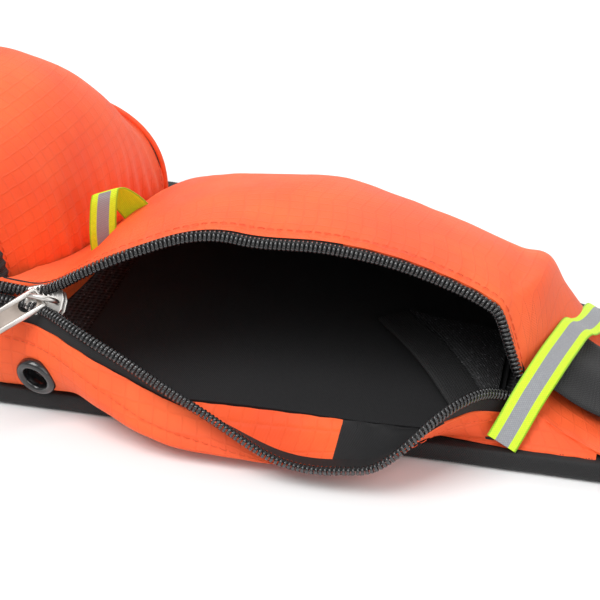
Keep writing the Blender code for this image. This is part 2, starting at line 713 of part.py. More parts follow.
def loop_tab():
    """A loop of reflective tape that stands in the valley beside the bottle pocket."""
    inner = pocket_half(LOOP_BASE_Y) + LOOP_CLEAR
    outer = inner + REFLECT_WIDTH
    far = LOOP_BASE_Y + LOOP_SPREAD
    rows = [[(x, LOOP_BASE_Y, cover_z(x, LOOP_BASE_Y) + 2 * FREE) for x in (inner, outer)]]
    for y, z in ((LOOP_BASE_Y + 0.002, LOOP_TOP - 0.003), (LOOP_BASE_Y + 0.004, LOOP_TOP), (far - 0.007, LOOP_TOP - 0.002)):
        rows.append([(inner, y, z), (outer, y, z)])
    rows.append([(x + LOOP_TWIST, far, cover_z(x + LOOP_TWIST, far) + 2 * FREE) for x in (inner, outer)])
    skin("loop_tab", rows, REFLECT_THICK, "reflective")


def lining():
    """The pouch's lining on the back panel, with a mesh pocket and its elastic edge."""
    low = PAD_TOP + GAP
    near = NEAR_Y + BINDING_WIDTH + 0.002
    outline = [(LINING_START_X, near), (LINING_END_X, near), (LINING_END_X, far_y(LINING_END_X) - 0.018)]
    outline += [(LINING_START_X, far_y(LINING_START_X) - 0.018)]
    prism("lining_right", outline, low, low + LINING_THICK, "lining")
    a, b = Vector(BAND_A), Vector(BAND_B)
    along = (b - a).normalized()
    across = Vector((-along.y, along.x)) * BAND_WIDTH / 2
    band = [tuple(p) for p in (a - across, b - across, b + across, a + across)]
    top = low + LINING_THICK + GAP
    prism("inner_elastic", band, top, top + 2 * LINING_THICK, "webbing")
    edge_a, edge_b = a + across * 1.05, b + across * 1.05
    net = [tuple(edge_b), (MESH_END_X, BAND_B[1]), (MESH_END_X, far_y(MESH_END_X) - 0.022)]
    net += [(BAND_A[0] + 0.014, far_y(BAND_A[0]) - 0.040), tuple(edge_a)]
    prism("inner_mesh", net, top, top + LINING_THICK, "mesh")


# ---- Webbing and buckle ---------------------------------------------------------------------------------------


def web_rows(stations, side):
    """Webbing over (x, underside z) stations, as rows of its upper face."""
    rows = [[(x, WEB_FAR, z + WEB_THICK), (x, WEB_NEAR, z + WEB_THICK)] for x, z in stations]
    return mirror_rows(rows, side)


def webbing(side, word, tail):
    """The webbing's fixed end, its stretch on the wing, and its free end round the buckle's bar."""
    fixed = [(x, web_z(x)) for x in WEB_STATIONS]
    skin("web_end_" + word, mirror_flip(web_rows(fixed, side)), WEB_THICK, "webbing")
    laid = [(x, web_z(x)) for x in np.linspace(HINGE_X + 0.003, WING_TIP_X, 4)]
    skin("web_wing_" + word, mirror_flip(web_rows(laid, side)), WEB_THICK, "webbing")

    start = WING_TIP_X + WEB_FREE_START
    bar = BUCKLE_X + BAR_OUT
    turn = BAR_RADIUS + FREE + WEB_THICK / 2
    lay = WEB_THICK + FREE
    path = [(start, WEB_Z), (BUCKLE_X - 0.010, WEB_Z), (BUCKLE_X, WEB_Z - turn * 0.75)]
    path += arc((bar, WEB_Z), turn, -90, 90, 6)
    path += [(BUCKLE_X, WEB_Z + turn * 0.95), (BUCKLE_X - 0.010, WEB_Z + lay), (BUCKLE_X - tail, WEB_Z + lay)]
    above = mitred(path, WEB_THICK / 2, False)
    below = mitred(path, -WEB_THICK / 2, False)
    rings = []
    for high, low in zip(above, below):
        ring = [(high[0], WEB_NEAR, high[1]), (high[0], WEB_FAR, high[1])]
        ring += [(low[0], WEB_FAR, low[1]), (low[0], WEB_NEAR, low[1])]
        rings.append(mirrored(ring, side))
    loft("web_free_" + word, rings, "webbing", origin=(side * (WING_TIP_X + WEB_PIVOT), WEB_Y, WEB_Z))


def mirror_flip(rows):
    return [row[::-1] for row in rows]


def cross_bar(name, x, side):
    """A round bar along Y that the webbing turns on."""
    outline = arc((side * x, WEB_Z), BAR_RADIUS, 0, 330, 11)
    return prism(name, outline, WEB_Y - BUCKLE_WIDTH / 2 + 0.001, WEB_Y + BUCKLE_WIDTH / 2 - 0.001, "plastic", axis=1)


def span(side, x0, x1):
    return (x0, x1) if side > 0 else (-x1, -x0)


def web_slot(obj, side):
    """Cuts a buckle end open for the webbing, and puts the bar back across it."""
    x0, x1 = span(side, BUCKLE_X - 0.002, BUCKLE_X + WEB_SLOT + 0.0015)
    half = WEB_WIDTH / 2 + 0.001
    tool = block("slot", (x0, WEB_Y - half, -0.01), (x1, WEB_Y + half, 0.03), "plastic")
    combine(obj, tool, "DIFFERENCE")
    combine(obj, cross_bar("bar", BUCKLE_X + BAR_OUT, side), "UNION")


def socket():
    """The buckle's female half, on the left belt end, open outward and at both sides."""
    x0, x1 = span(-1, BUCKLE_X, BUCKLE_X + SOCKET_LENGTH)
    half = BUCKLE_WIDTH / 2
    thick = BUCKLE_THICK / 2
    round_end = 0.004
    outline = [(x0, WEB_Y - half + round_end), (x0, WEB_Y + half - round_end), (x0 + round_end, WEB_Y + half)]
    outline += [(x1 - round_end, WEB_Y + half), (x1, WEB_Y + half - round_end)]
    outline += [(x1, WEB_Y - half + round_end), (x1 - round_end, WEB_Y - half), (x0 + round_end, WEB_Y - half)]
    obj = prism("buckle_socket", outline, WEB_Z - thick, WEB_Z + thick, "plastic")
    inner = half - SOCKET_WALL
    low, high = WEB_Z - thick + SOCKET_WALL, WEB_Z + thick - SOCKET_WALL
    tool = block("cavity", (x0 - 0.001, WEB_Y - inner, low), (x0 + SOCKET_DEPTH, WEB_Y + inner, high), "plastic")
    combine(obj, tool, "DIFFERENCE")
    window = (x0 + 0.011, x0 + SOCKET_DEPTH - 0.004)
    tool = block("windows", (window[0], WEB_Y - 0.04, low + 0.0005), (window[1], WEB_Y + 0.04, high - 0.0005), "plastic")
    combine(obj, tool, "DIFFERENCE")
    web_slot(obj, -1)


def latch():
    """The buckle's male half, on the right belt end: a frame with a tongue, and two springing prongs."""
    half = BUCKLE_WIDTH / 2 - 0.001
    thick = FRAME_THICK / 2
    x0, x1 = BUCKLE_X, BUCKLE_X + FRAME_LENGTH
    outline = [(x0, WEB_Y - half + 0.003), (x0 + 0.003, WEB_Y - half), (x1 - 0.005, WEB_Y - half)]
    outline += [(x1, WEB_Y - half + 0.006), (x1, WEB_Y + half - 0.006), (x1 - 0.005, WEB_Y + half)]
    outline += [(x0 + 0.003, WEB_Y + half), (x0, WEB_Y + half - 0.003)]
    obj = prism("buckle_frame", outline, WEB_Z - thick, WEB_Z + thick, "plastic")
    tongue = TONGUE_WIDTH / 2
    tip = x1 + PRONG_LENGTH * 0.72
    guide = [(x1 - 0.002, WEB_Y - tongue), (tip - 0.004, WEB_Y - tongue), (tip, WEB_Y - tongue + 0.002)]
    guide += [(tip, WEB_Y + tongue - 0.002), (tip - 0.004, WEB_Y + tongue), (x1 - 0.002, WEB_Y + tongue)]
    combine(obj, prism("tongue", guide, WEB_Z - 0.002, WEB_Z + 0.002, "plastic"), "UNION")
    web_slot(obj, 1)
    for sign, word in ((-1, "near"), (1, "far")):
        root_y = half - 0.0125
        pivot = (x1 + PRONG_WIDTH / 2 + GAP, WEB_Y + sign * (root_y + PRONG_WIDTH / 2), WEB_Z)
        reach = x1 + PRONG_LENGTH
        arm = arc((pivot[0], root_y + PRONG_WIDTH / 2), PRONG_WIDTH / 2, 270, 90, 6)
        arm += [(x1 + 0.009, root_y + PRONG_WIDTH), (x1 + 0.012, half - 0.001), (x1 + 0.020, half - 0.001)]
        arm += [(reach, root_y + PRONG_WIDTH + 0.001), (reach, root_y + 0.003), (x1 + 0.018, root_y + 0.002)]
        arm += [(x1 + 0.012, root_y)]
        outline = [(x, WEB_Y + sign * y) for x, y in arm]
        prism("prong_" + word, outline, WEB_Z - PRONG_THICK / 2, WEB_Z + PRONG_THICK / 2, "plastic", origin=pivot)


def keeper():
    """A loop that holds the webbing's tail."""
    inner_low = WEB_Z - WEB_THICK / 2 - FREE
    inner_high = WEB_Z + WEB_THICK * 1.5 + 2 * FREE
    half = WEB_WIDTH / 2 + FREE
    x0, x1 = KEEPER_X - KEEPER_LENGTH / 2, KEEPER_X + KEEPER_LENGTH / 2
    low = (x0, WEB_Y - half - KEEPER_WALL, inner_low - KEEPER_WALL)
    high = (x1, WEB_Y + half + KEEPER_WALL, inner_high + KEEPER_WALL)
    obj = block("keeper", low, high, "plastic", origin=(KEEPER_X, WEB_Y, WEB_Z))
    tool = block("hole", (x0 - 0.01, WEB_Y - half, inner_low), (x1 + 0.01, WEB_Y + half, inner_high), "plastic")
    combine(obj, tool, "DIFFERENCE")


def main():
    for obj in list(bpy.data.objects):
        bpy.data.objects.remove(obj)
    back_panel()
    for side, word in ((1, "right"), (-1, "left")):
        wing(side, word)
        reflective_tape(side, word)
        webbing(side, word, TAIL if side > 0 else TAIL_LEFT)
    bottle_pocket()
    eyelet("right", 1, right_pouch())
    eyelet("left", -1, left_pouch())
    for side, word, x in ((1, "right", ZIP_IN.x), (-1, "left", ZIP_OUT.x - SLIDER_END)):
        slider(side, word, x)
        pull(side, word, x)
    loop_tab()
    lining()
    socket()
    latch()
    keeper()


main()
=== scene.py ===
import json
import math

import bmesh
import bpy
import numpy as np
from mathutils import Matrix, Vector, noise


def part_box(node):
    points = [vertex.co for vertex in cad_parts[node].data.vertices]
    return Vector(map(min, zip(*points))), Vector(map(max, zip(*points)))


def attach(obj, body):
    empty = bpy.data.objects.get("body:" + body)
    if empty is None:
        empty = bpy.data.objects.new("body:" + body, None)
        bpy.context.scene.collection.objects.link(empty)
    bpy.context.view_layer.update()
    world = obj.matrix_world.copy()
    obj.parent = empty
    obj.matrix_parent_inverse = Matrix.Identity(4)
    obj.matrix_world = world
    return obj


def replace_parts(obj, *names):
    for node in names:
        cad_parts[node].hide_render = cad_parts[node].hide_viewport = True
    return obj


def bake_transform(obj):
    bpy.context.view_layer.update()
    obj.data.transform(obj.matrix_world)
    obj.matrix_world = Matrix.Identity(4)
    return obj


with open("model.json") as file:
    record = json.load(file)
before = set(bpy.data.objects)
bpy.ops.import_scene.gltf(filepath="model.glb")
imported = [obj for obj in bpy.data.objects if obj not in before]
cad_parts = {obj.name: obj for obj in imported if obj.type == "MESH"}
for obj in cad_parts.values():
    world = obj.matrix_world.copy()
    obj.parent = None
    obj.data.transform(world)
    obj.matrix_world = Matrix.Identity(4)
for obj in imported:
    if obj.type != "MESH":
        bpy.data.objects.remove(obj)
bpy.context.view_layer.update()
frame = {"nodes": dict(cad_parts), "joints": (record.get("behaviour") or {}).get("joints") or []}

joints = {j["name"]: j for j in frame["joints"]}
bothSides = ((1, "right"), (-1, "left"))


# ---- values and shapes

def smooth(t):
    t = np.clip(t, 0, 1)
    return t * t * (3 - 2 * t)


def through(points, x):
    # a smooth curve through (x, value) points, level at both ends
    xs = np.array([p[0] for p in points], float)
    ys = np.array([p[1] for p in points], float)
    slopes = np.zeros(len(xs))
    slopes[1:-1] = (ys[2:] - ys[:-2]) / (xs[2:] - xs[:-2])
    x = np.clip(np.asarray(x, float), xs[0], xs[-1])
    i = np.clip(np.searchsorted(xs, x, side="right") - 1, 0, len(xs) - 2)
    h = xs[i + 1] - xs[i]
    t = (x - xs[i]) / h
    rise = (2 * t**3 - 3 * t**2 + 1) * ys[i] + (3 * t**2 - 2 * t**3) * ys[i + 1]
    return rise + h * ((t**3 - 2 * t**2 + t) * slopes[i] + (t**3 - t**2) * slopes[i + 1])


def unit(v):
    return v / np.maximum(np.linalg.norm(v, axis=-1, keepdims=True), 1e-9)


def lump(points, size, seed):
    # smooth noise between -1 and 1 at each point, with lumps of about this size
    flat = np.asarray(points, float).reshape(-1, 3)
    shift = Vector((seed * 7.13, seed * 3.71, seed * 1.37))
    values = [noise.noise(Vector(p) / size + shift) for p in flat]
    return np.array(values).reshape(np.shape(points)[:-1])


def turn(points, pivot, axis, angle):
    # points turned about an axis, each by its own angle
    rel = np.asarray(points, float) - np.array(pivot)
    axis = unit(np.array(axis, float))
    angle = np.asarray(angle)[..., None]
    level = (rel @ axis)[..., None] * axis
    spun = rel * np.cos(angle) + np.cross(axis, rel) * np.sin(angle) + level * (1 - np.cos(angle))
    return spun + np.array(pivot)


def arcLength(grid, axis):
    steps = np.linalg.norm(np.diff(grid, axis=axis), axis=-1)
    first = np.zeros_like(np.take(steps, [0], axis=axis))
    return np.cumsum(np.concatenate([first, steps], axis=axis), axis=axis)


def gridNormal(grid):
    return unit(np.cross(np.gradient(grid, axis=0), np.gradient(grid, axis=1)))


def makePiece(name, points, faces, finishes, uvs=None, picks=None):
    mesh = bpy.data.meshes.new(name)
    mesh.from_pydata(np.asarray(points, float).reshape(-1, 3).tolist(), [], faces)
    for finish in finishes if isinstance(finishes, (list, tuple)) else [finishes]:
        mesh.materials.append(finish)
    if picks is not None:
        mesh.polygons.foreach_set("material_index", picks)
    if uvs is not None:
        layer = mesh.uv_layers.new(name="surface")
        corners = np.zeros(len(mesh.loops), int)
        mesh.loops.foreach_get("vertex_index", corners)
        layer.data.foreach_set("uv", np.asarray(uvs, float).reshape(-1, 2)[corners].ravel())
    mesh.shade_smooth()
    mesh.update()
    obj = bpy.data.objects.new(name, mesh)
    bpy.context.scene.collection.objects.link(obj)
    return obj


def sheetFaces(rows, cols):
    # the front, back and rim faces of two grids of points that follow each other
    index = np.arange(rows * cols).reshape(rows, cols)
    quads = np.stack([index[:-1, :-1], index[:-1, 1:], index[1:, 1:], index[1:, :-1]], -1).reshape(-1, 4)
    ring = np.concatenate([index[0, :], index[1:, -1], index[-1, -2::-1], index[-2:0:-1, 0]])
    after = np.roll(ring, -1)
    half = rows * cols
    return quads, quads[:, ::-1] + half, np.stack([ring, ring + half, after + half, after], -1)


def ringFaces(rings, count, closed=False):
    # faces that join rings of points: closed on themselves, or with a cap at each end
    index = np.arange(rings * count).reshape(rings, count)
    around = np.roll(index, -1, axis=1)
    if closed:
        return np.stack([index, around, np.roll(around, -1, 0), np.roll(index, -1, 0)],
                        -1).reshape(-1, 4).tolist()
    quads = np.stack([index[:-1], around[:-1], around[1:], index[1:]], -1).reshape(-1, 4)
    return quads.tolist() + [index[0, ::-1].tolist(), index[-1].tolist()]


def turnOutward(obj):
    bm = bmesh.new()
    bm.from_mesh(obj.data)
    bmesh.ops.remove_doubles(bm, verts=bm.verts, dist=1e-6)
    bmesh.ops.recalc_face_normals(bm, faces=bm.faces)
    bm.to_mesh(obj.data)
    bm.free()
    return obj


def clothSheet(name, grid, thick, outer, inner, uvs=None, lined=None):
    # a thin closed sheet: the grid is its outer side, and its inner side has its own finish,
    # all over or where lined(points) says
    grid = np.asarray(grid, float)
    back = grid - gridNormal(grid) * thick
    points = np.concatenate([grid.reshape(-1, 3), back.reshape(-1, 3)])
    quads, reverse, rim = sheetFaces(*grid.shape[:2])
    faces = np.concatenate([quads, reverse, rim])
    inside = np.ones(len(quads)) if lined is None else lined(points[quads].mean(1))
    edge = np.zeros(len(rim)) if lined is None else lined(points[rim].mean(1))
    picks = np.concatenate([np.zeros(len(quads)), inside, edge]).astype(int)
    if uvs is None:
        uvs = np.stack([arcLength(grid, 0), arcLength(grid, 1)], -1)
    uvs = np.concatenate([np.reshape(uvs, (-1, 2))] * 2)
    sheet = turnOutward(makePiece(name, points, faces.tolist(), [outer, inner], uvs, picks))
    sheet.data.set_sharp_from_angle(angle=math.radians(60))
    return sheet


def ribbon(name, path, across, normal, width, thick, finish, pitch=0.001, depth=0.0, steps=10):
    # woven tape: ribs across it, rounded edges, closed all round
    path, across, normal = (np.asarray(v, float) for v in (path, across, normal))
    run = arcLength(path, 0)
    share = np.linspace(-1, 1, steps + 1)
    edge = 1 - np.abs(share) ** 8 * 0.75
    rib = depth * np.abs(np.sin(math.pi * run / pitch))[:, None]
    half = thick / 2 * edge[None, :]
    side = across[:, None, :] * (share * width / 2)[None, :, None]
    top = path[:, None, :] + side + normal[:, None, :] * (half + rib * edge)[..., None]
    low = path[:, None, :] + side - normal[:, None, :] * (half + rib * edge)[..., None]
    rings = np.concatenate([top, low[:, ::-1]], 1)
    cols = rings.shape[1]
    spread = np.concatenate([share, share[::-1]]) * width / 2
    uvs = np.stack([np.repeat(run[:, None], cols, 1), np.repeat(spread[None], len(path), 0)], -1)
    return turnOutward(makePiece(name, rings, ringFaces(len(path), cols), finish, uvs))


def sweep(name, path, profile, across, normal, finish, pitch=None, depth=0.0):
    # a closed profile of (across, up) points carried along a path, with ribs pushed outward
    path, across, normal = (np.asarray(v, float) for v in (path, across, normal))
    profile = np.asarray(profile, float)
    away = np.roll(profile, -1, 0) - np.roll(profile, 1, 0)
    away = unit(np.stack([away[:, 1], -away[:, 0]], -1))
    run = arcLength(path, 0)
    rib = np.zeros(len(path)) if pitch is None else depth * np.abs(np.sin(math.pi * run / pitch))
    shape = profile[None] + away[None] * rib[:, None, None]
    rings = path[:, None] + across[:, None] * shape[..., :1] + normal[:, None] * shape[..., 1:]
    cols = len(profile)
    girth = arcLength(profile, 0)
    uvs = np.stack([np.repeat(run[:, None], cols, 1), np.repeat(girth[None], len(path), 0)], -1)
    return turnOutward(makePiece(name, rings, ringFaces(len(path), cols), finish, uvs))


def tube(name, path, radius, finish, sides=10):
    path = np.asarray(path, float)
    ahead = unit(np.gradient(path, axis=0))
    guide = np.array([0.0, 0.0, 1.0]) if abs(ahead[:, 2]).max() < 0.9 else np.array([0.3, 1.0, 0.1])
    across = unit(np.cross(ahead, guide))
    normal = np.cross(across, ahead)
    angle = np.linspace(0, 2 * math.pi, sides, endpoint=False)
    profile = np.stack([np.cos(angle), np.sin(angle)], -1) * radius
    return sweep(name, path, profile, across, normal, finish)


def resample(path, spacing):
    path = np.asarray(path, float)
    run = arcLength(path, 0)
    count = max(2, int(round(run[-1] / spacing)) + 1)
    stations = np.linspace(0, run[-1], count)
    return np.stack([np.interp(stations, run, path[:, k]) for k in range(path.shape[1])], -1)


def joined(name, pieces):
    data = bmesh.new()
    finishes = []
    for piece in pieces:
        for m in piece.data.materials:
            if m not in finishes:
                finishes.append(m)
        shift = [finishes.index(m) for m in piece.data.materials]
        before = len(data.faces)
        data.from_mesh(piece.data)
        data.faces.ensure_lookup_table()
        for face in data.faces[before:]:
            face.material_index = shift[face.material_index] if shift else 0
        bpy.data.objects.remove(piece)
    mesh = bpy.data.meshes.new(name)
    data.to_mesh(mesh)
    data.free()
    for m in finishes:
        mesh.materials.append(m)
    obj = bpy.data.objects.new(name, mesh)
    bpy.context.scene.collection.objects.link(obj)
    return obj


def mirroredCopy(obj, name):
    copy = bpy.data.objects.new(name, obj.data.copy())
    copy.data.transform(Matrix.Scale(-1, 4, (1, 0, 0)))
    copy.data.flip_normals()
    bpy.context.scene.collection.objects.link(copy)
    return copy


# ---- geometry nodes: small copies along lines on a surface

def copiesTree():
    tree = bpy.data.node_groups.new("copiesAlongLines", "GeometryNodeTree")
    face = tree.interface
    face.new_socket(name="Lines", in_out="INPUT", socket_type="NodeSocketGeometry")
    face.new_socket(name="Unit", in_out="INPUT", socket_type="NodeSocketObject")
    for name, value in (("Pitch", 0.002), ("Size", 1.0), ("Jitter", 0.0)):
        face.new_socket(name=name, in_out="INPUT", socket_type="NodeSocketFloat").default_value = value
    face.new_socket(name="Seed", in_out="INPUT", socket_type="NodeSocketInt").default_value = 1
    face.new_socket(name="Finish", in_out="INPUT", socket_type="NodeSocketMaterial")
    face.new_socket(name="Copies", in_out="OUTPUT", socket_type="NodeSocketGeometry")
    add, link = tree.nodes.new, tree.links.new
    given, out = add("NodeGroupInput"), add("NodeGroupOutput")
    curve = add("GeometryNodeMeshToCurve")
    spaced = add("GeometryNodeResampleCurve")
    spaced.mode = "LENGTH"
    tangent = add("GeometryNodeInputTangent")
    outward = add("GeometryNodeInputNamedAttribute")
    outward.data_type = "FLOAT_VECTOR"
    outward.inputs["Name"].default_value = "outward"
    turned = add("FunctionNodeAxesToRotation")
    turned.primary_axis, turned.secondary_axis = "X", "Z"
    unitShape = add("GeometryNodeObjectInfo")
    place = add("GeometryNodeInstanceOnPoints")
    vary = add("FunctionNodeRandomValue")
    vary.data_type = "FLOAT"
    least, most = add("ShaderNodeMath"), add("ShaderNodeMath")
    least.operation, most.operation = "SUBTRACT", "ADD"
    real, coat = add("GeometryNodeRealizeInstances"), add("GeometryNodeSetMaterial")
    link(given.outputs["Lines"], curve.inputs["Mesh"])
    link(curve.outputs["Curve"], spaced.inputs["Curve"])
    link(given.outputs["Pitch"], spaced.inputs["Length"])
    link(spaced.outputs["Curve"], place.inputs["Points"])
    link(given.outputs["Unit"], unitShape.inputs["Object"])
    link(unitShape.outputs["Geometry"], place.inputs["Instance"])
    link(tangent.outputs["Tangent"], turned.inputs["Primary Axis"])
    link(outward.outputs["Attribute"], turned.inputs["Secondary Axis"])
    link(turned.outputs["Rotation"], place.inputs["Rotation"])
    for node in (least, most):
        link(given.outputs["Size"], node.inputs[0])
        link(given.outputs["Jitter"], node.inputs[1])
    floats = [s for s in vary.inputs if s.type == "VALUE"]
    link(least.outputs[0], floats[0])
    link(most.outputs[0], floats[1])
    link(given.outputs["Seed"], vary.inputs["Seed"])
    amount = [s for s in vary.outputs if s.type == "VALUE"][0]
    link(amount, place.inputs["Scale"])
    link(place.outputs["Instances"], real.inputs["Geometry"])
    link(real.outputs["Geometry"], coat.inputs["Geometry"])
    link(given.outputs["Finish"], coat.inputs["Material"])
    link(coat.outputs["Geometry"], out.inputs["Copies"])
    return tree


copiesAlong = copiesTree()


def copies(name, lines, shape, pitch, finish, size=1.0, jitter=0.0, seed=1):
    # lines is a list of (points, outward) pairs
    points, edges, outs = [], [], []
    for line, outward in lines:
        start = len(points)
        points += np.asarray(line, float).tolist()
        outs += np.broadcast_to(outward, np.shape(line)).tolist()
        edges += [(i, i + 1) for i in range(start, len(points) - 1)]
    mesh = bpy.data.meshes.new(name + "Lines")
    mesh.from_pydata(points, edges, [])
    mesh.attributes.new("outward", "FLOAT_VECTOR", "POINT").data.foreach_set("vector", np.ravel(outs))
    guide = bpy.data.objects.new(name + "Lines", mesh)
    bpy.context.scene.collection.objects.link(guide)
    modifier = guide.modifiers.new("copies", "NODES")
    modifier.node_group = copiesAlong
    wanted = {"Unit": shape, "Pitch": pitch, "Size": size, "Jitter": jitter, "Seed": seed, "Finish": finish}
    for item in copiesAlong.interface.items_tree:
        if item.in_out == "INPUT" and item.name in wanted:
            modifier[item.identifier] = wanted[item.name]
    bpy.context.view_layer.update()
    made = bpy.data.meshes.new_from_object(guide.evaluated_get(bpy.context.evaluated_depsgraph_get()))
    bpy.data.objects.remove(guide)
    obj = bpy.data.objects.new(name, made)
    made.shade_smooth()
    bpy.context.scene.collection.objects.link(obj)
    return obj


def hiddenUnit(name, points, faces):
    obj = makePiece(name, points, faces, [])
    turnOutward(obj)
    bpy.context.scene.collection.objects.unlink(obj)
    return obj


threadAngles = np.linspace(0, 2 * math.pi, 6, endpoint=False)


def stitchShape(length, width, height):
    # one stitch: a thread that rises out of the cloth and dives back
    path = [(-0.5, -0.3), (-0.38, 0.55), (0, 1), (0.38, 0.55), (0.5, -0.3)]
    points = []
    for x, z in path:
        for a in threadAngles:
            points.append((x * length, math.cos(a) * width / 2, z * height + math.sin(a) * width / 3))
    return hiddenUnit("stitchUnit", points, ringFaces(len(path), len(threadAngles)))


def coilShape(pitch, reach, high):
    # one turn of the zip's nylon coil, its loop pointing to -Y
    steps = 9
    fat = pitch * 0.36
    points = []
    for t in np.linspace(0, 1, steps):
        bend = math.pi * (0.15 + 1.7 * t)
        x, y, z = (t - 0.5) * pitch * 0.55, math.cos(bend) * reach * 0.5, math.sin(bend) * high * -0.5
        for a in threadAngles:
            points.append((x + math.cos(a) * fat, y + math.sin(a) * fat * 0.6, z + math.sin(a) * fat * 0.8))
    return hiddenUnit("coilUnit", points, ringFaces(steps, len(threadAngles)))


# ---- materials

def shaderGroup(name, inputs, outputs):
    group = bpy.data.node_groups.new(name, "ShaderNodeTree")
    for label, value in inputs:
        kind = "NodeSocketFloat" if isinstance(value, (int, float)) else "NodeSocketVector"
        socket = group.interface.new_socket(name=label, in_out="INPUT", socket_type=kind)
        socket.default_value = value
    for label in outputs:
        group.interface.new_socket(name=label, in_out="OUTPUT", socket_type="NodeSocketFloat")
    return group, group.nodes.new("NodeGroupInput"), group.nodes.new("NodeGroupOutput")


def mathNode(group, operation, first, second=None, third=None):
    node = group.nodes.new("ShaderNodeMath")
    node.operation = operation
    for slot, value in zip(node.inputs, (first, second, third)):
        if value is None:
            continue
        if isinstance(value, (int, float)):
            slot.default_value = value
        else:
            group.links.new(value, slot)
    return node.outputs[0]


def ripstopGroup():
    # plain weave with thicker threads in a square grid
    inputs = [("Place", (0, 0, 0)), ("Grid", 0.0045), ("Thread", 0.0004)]
    group, given, out = shaderGroup("ripstopWeave", inputs, ["Height", "Grid Mask"])
    def op(operation, *values):
        return mathNode(group, operation, *values)

    split = group.nodes.new("ShaderNodeSeparateXYZ")
    group.links.new(given.outputs["Place"], split.inputs[0])
    ridges, threads = [], []
    for axis in ("X", "Y"):
        cell = op("FRACT", op("DIVIDE", split.outputs[axis], given.outputs["Grid"]))
        middle = op("ABSOLUTE", op("SUBTRACT", cell, 0.5))
        ridges.append(op("SMOOTH_MAX", op("SUBTRACT", 1.0, op("MULTIPLY", middle, 9.0)), 0.0, 0.2))
        turns = op("DIVIDE", split.outputs[axis], given.outputs["Thread"])
        threads.append(op("SINE", op("MULTIPLY", turns, 2 * math.pi)))
    ridge = op("MAXIMUM", *ridges)
    height = op("ADD", op("MULTIPLY", ridge, 0.8), op("MULTIPLY", op("MULTIPLY", *threads), 0.22))
    group.links.new(height, out.inputs["Height"])
    group.links.new(ridge, out.inputs["Grid Mask"])
    return group


def creaseGroup():
    # uneven cloth: broad soft lumps and fine creases
    inputs = [("Place", (0, 0, 0)), ("Broad", 40.0), ("Fine", 160.0)]
    group, given, out = shaderGroup("clothCreases", inputs, ["Height", "Tint"])
    tones = []
    for label, detail in (("Broad", 3.0), ("Fine", 5.0)):
        node = group.nodes.new("ShaderNodeTexNoise")
        node.inputs["Detail"].default_value = detail
        group.links.new(given.outputs["Place"], node.inputs["Vector"])
        group.links.new(given.outputs[label], node.inputs["Scale"])
        tones.append(node.outputs[0])
    broad, fine = (mathNode(group, "MULTIPLY", tone, share) for tone, share in zip(tones, (0.7, 0.3)))
    height = mathNode(group, "ADD", broad, fine)
    group.links.new(height, out.inputs["Height"])
    group.links.new(tones[0], out.inputs["Tint"])
    return group


def threadGroup():
    # fine crossed threads, for tape, binding and lining
    inputs = [("Place", (0, 0, 0)), ("Along", 0.0006), ("Across", 0.0009)]
    group, given, out = shaderGroup("tapeThreads", inputs, ["Height", "Shine"])
    split = group.nodes.new("ShaderNodeSeparateXYZ")
    group.links.new(given.outputs["Place"], split.inputs[0])
    waves = []
    for axis, label in (("X", "Along"), ("Y", "Across")):
        turns = mathNode(group, "DIVIDE", split.outputs[axis], given.outputs[label])
        waves.append(mathNode(group, "SINE", mathNode(group, "MULTIPLY", turns, 2 * math.pi)))
    both = mathNode(group, "MULTIPLY", *waves)
    height = mathNode(group, "MULTIPLY_ADD", both, 0.5, 0.5)
    speck = group.nodes.new("ShaderNodeTexNoise")
    speck.inputs["Scale"].default_value = 900.0
    group.links.new(given.outputs["Place"], speck.inputs["Vector"])
    group.links.new(height, out.inputs["Height"])
    group.links.new(mathNode(group, "MULTIPLY", height, speck.outputs[0]), out.inputs["Shine"])
    return group


ripstopWeave = ripstopGroup()
clothCreases = creaseGroup()
tapeThreads = threadGroup()


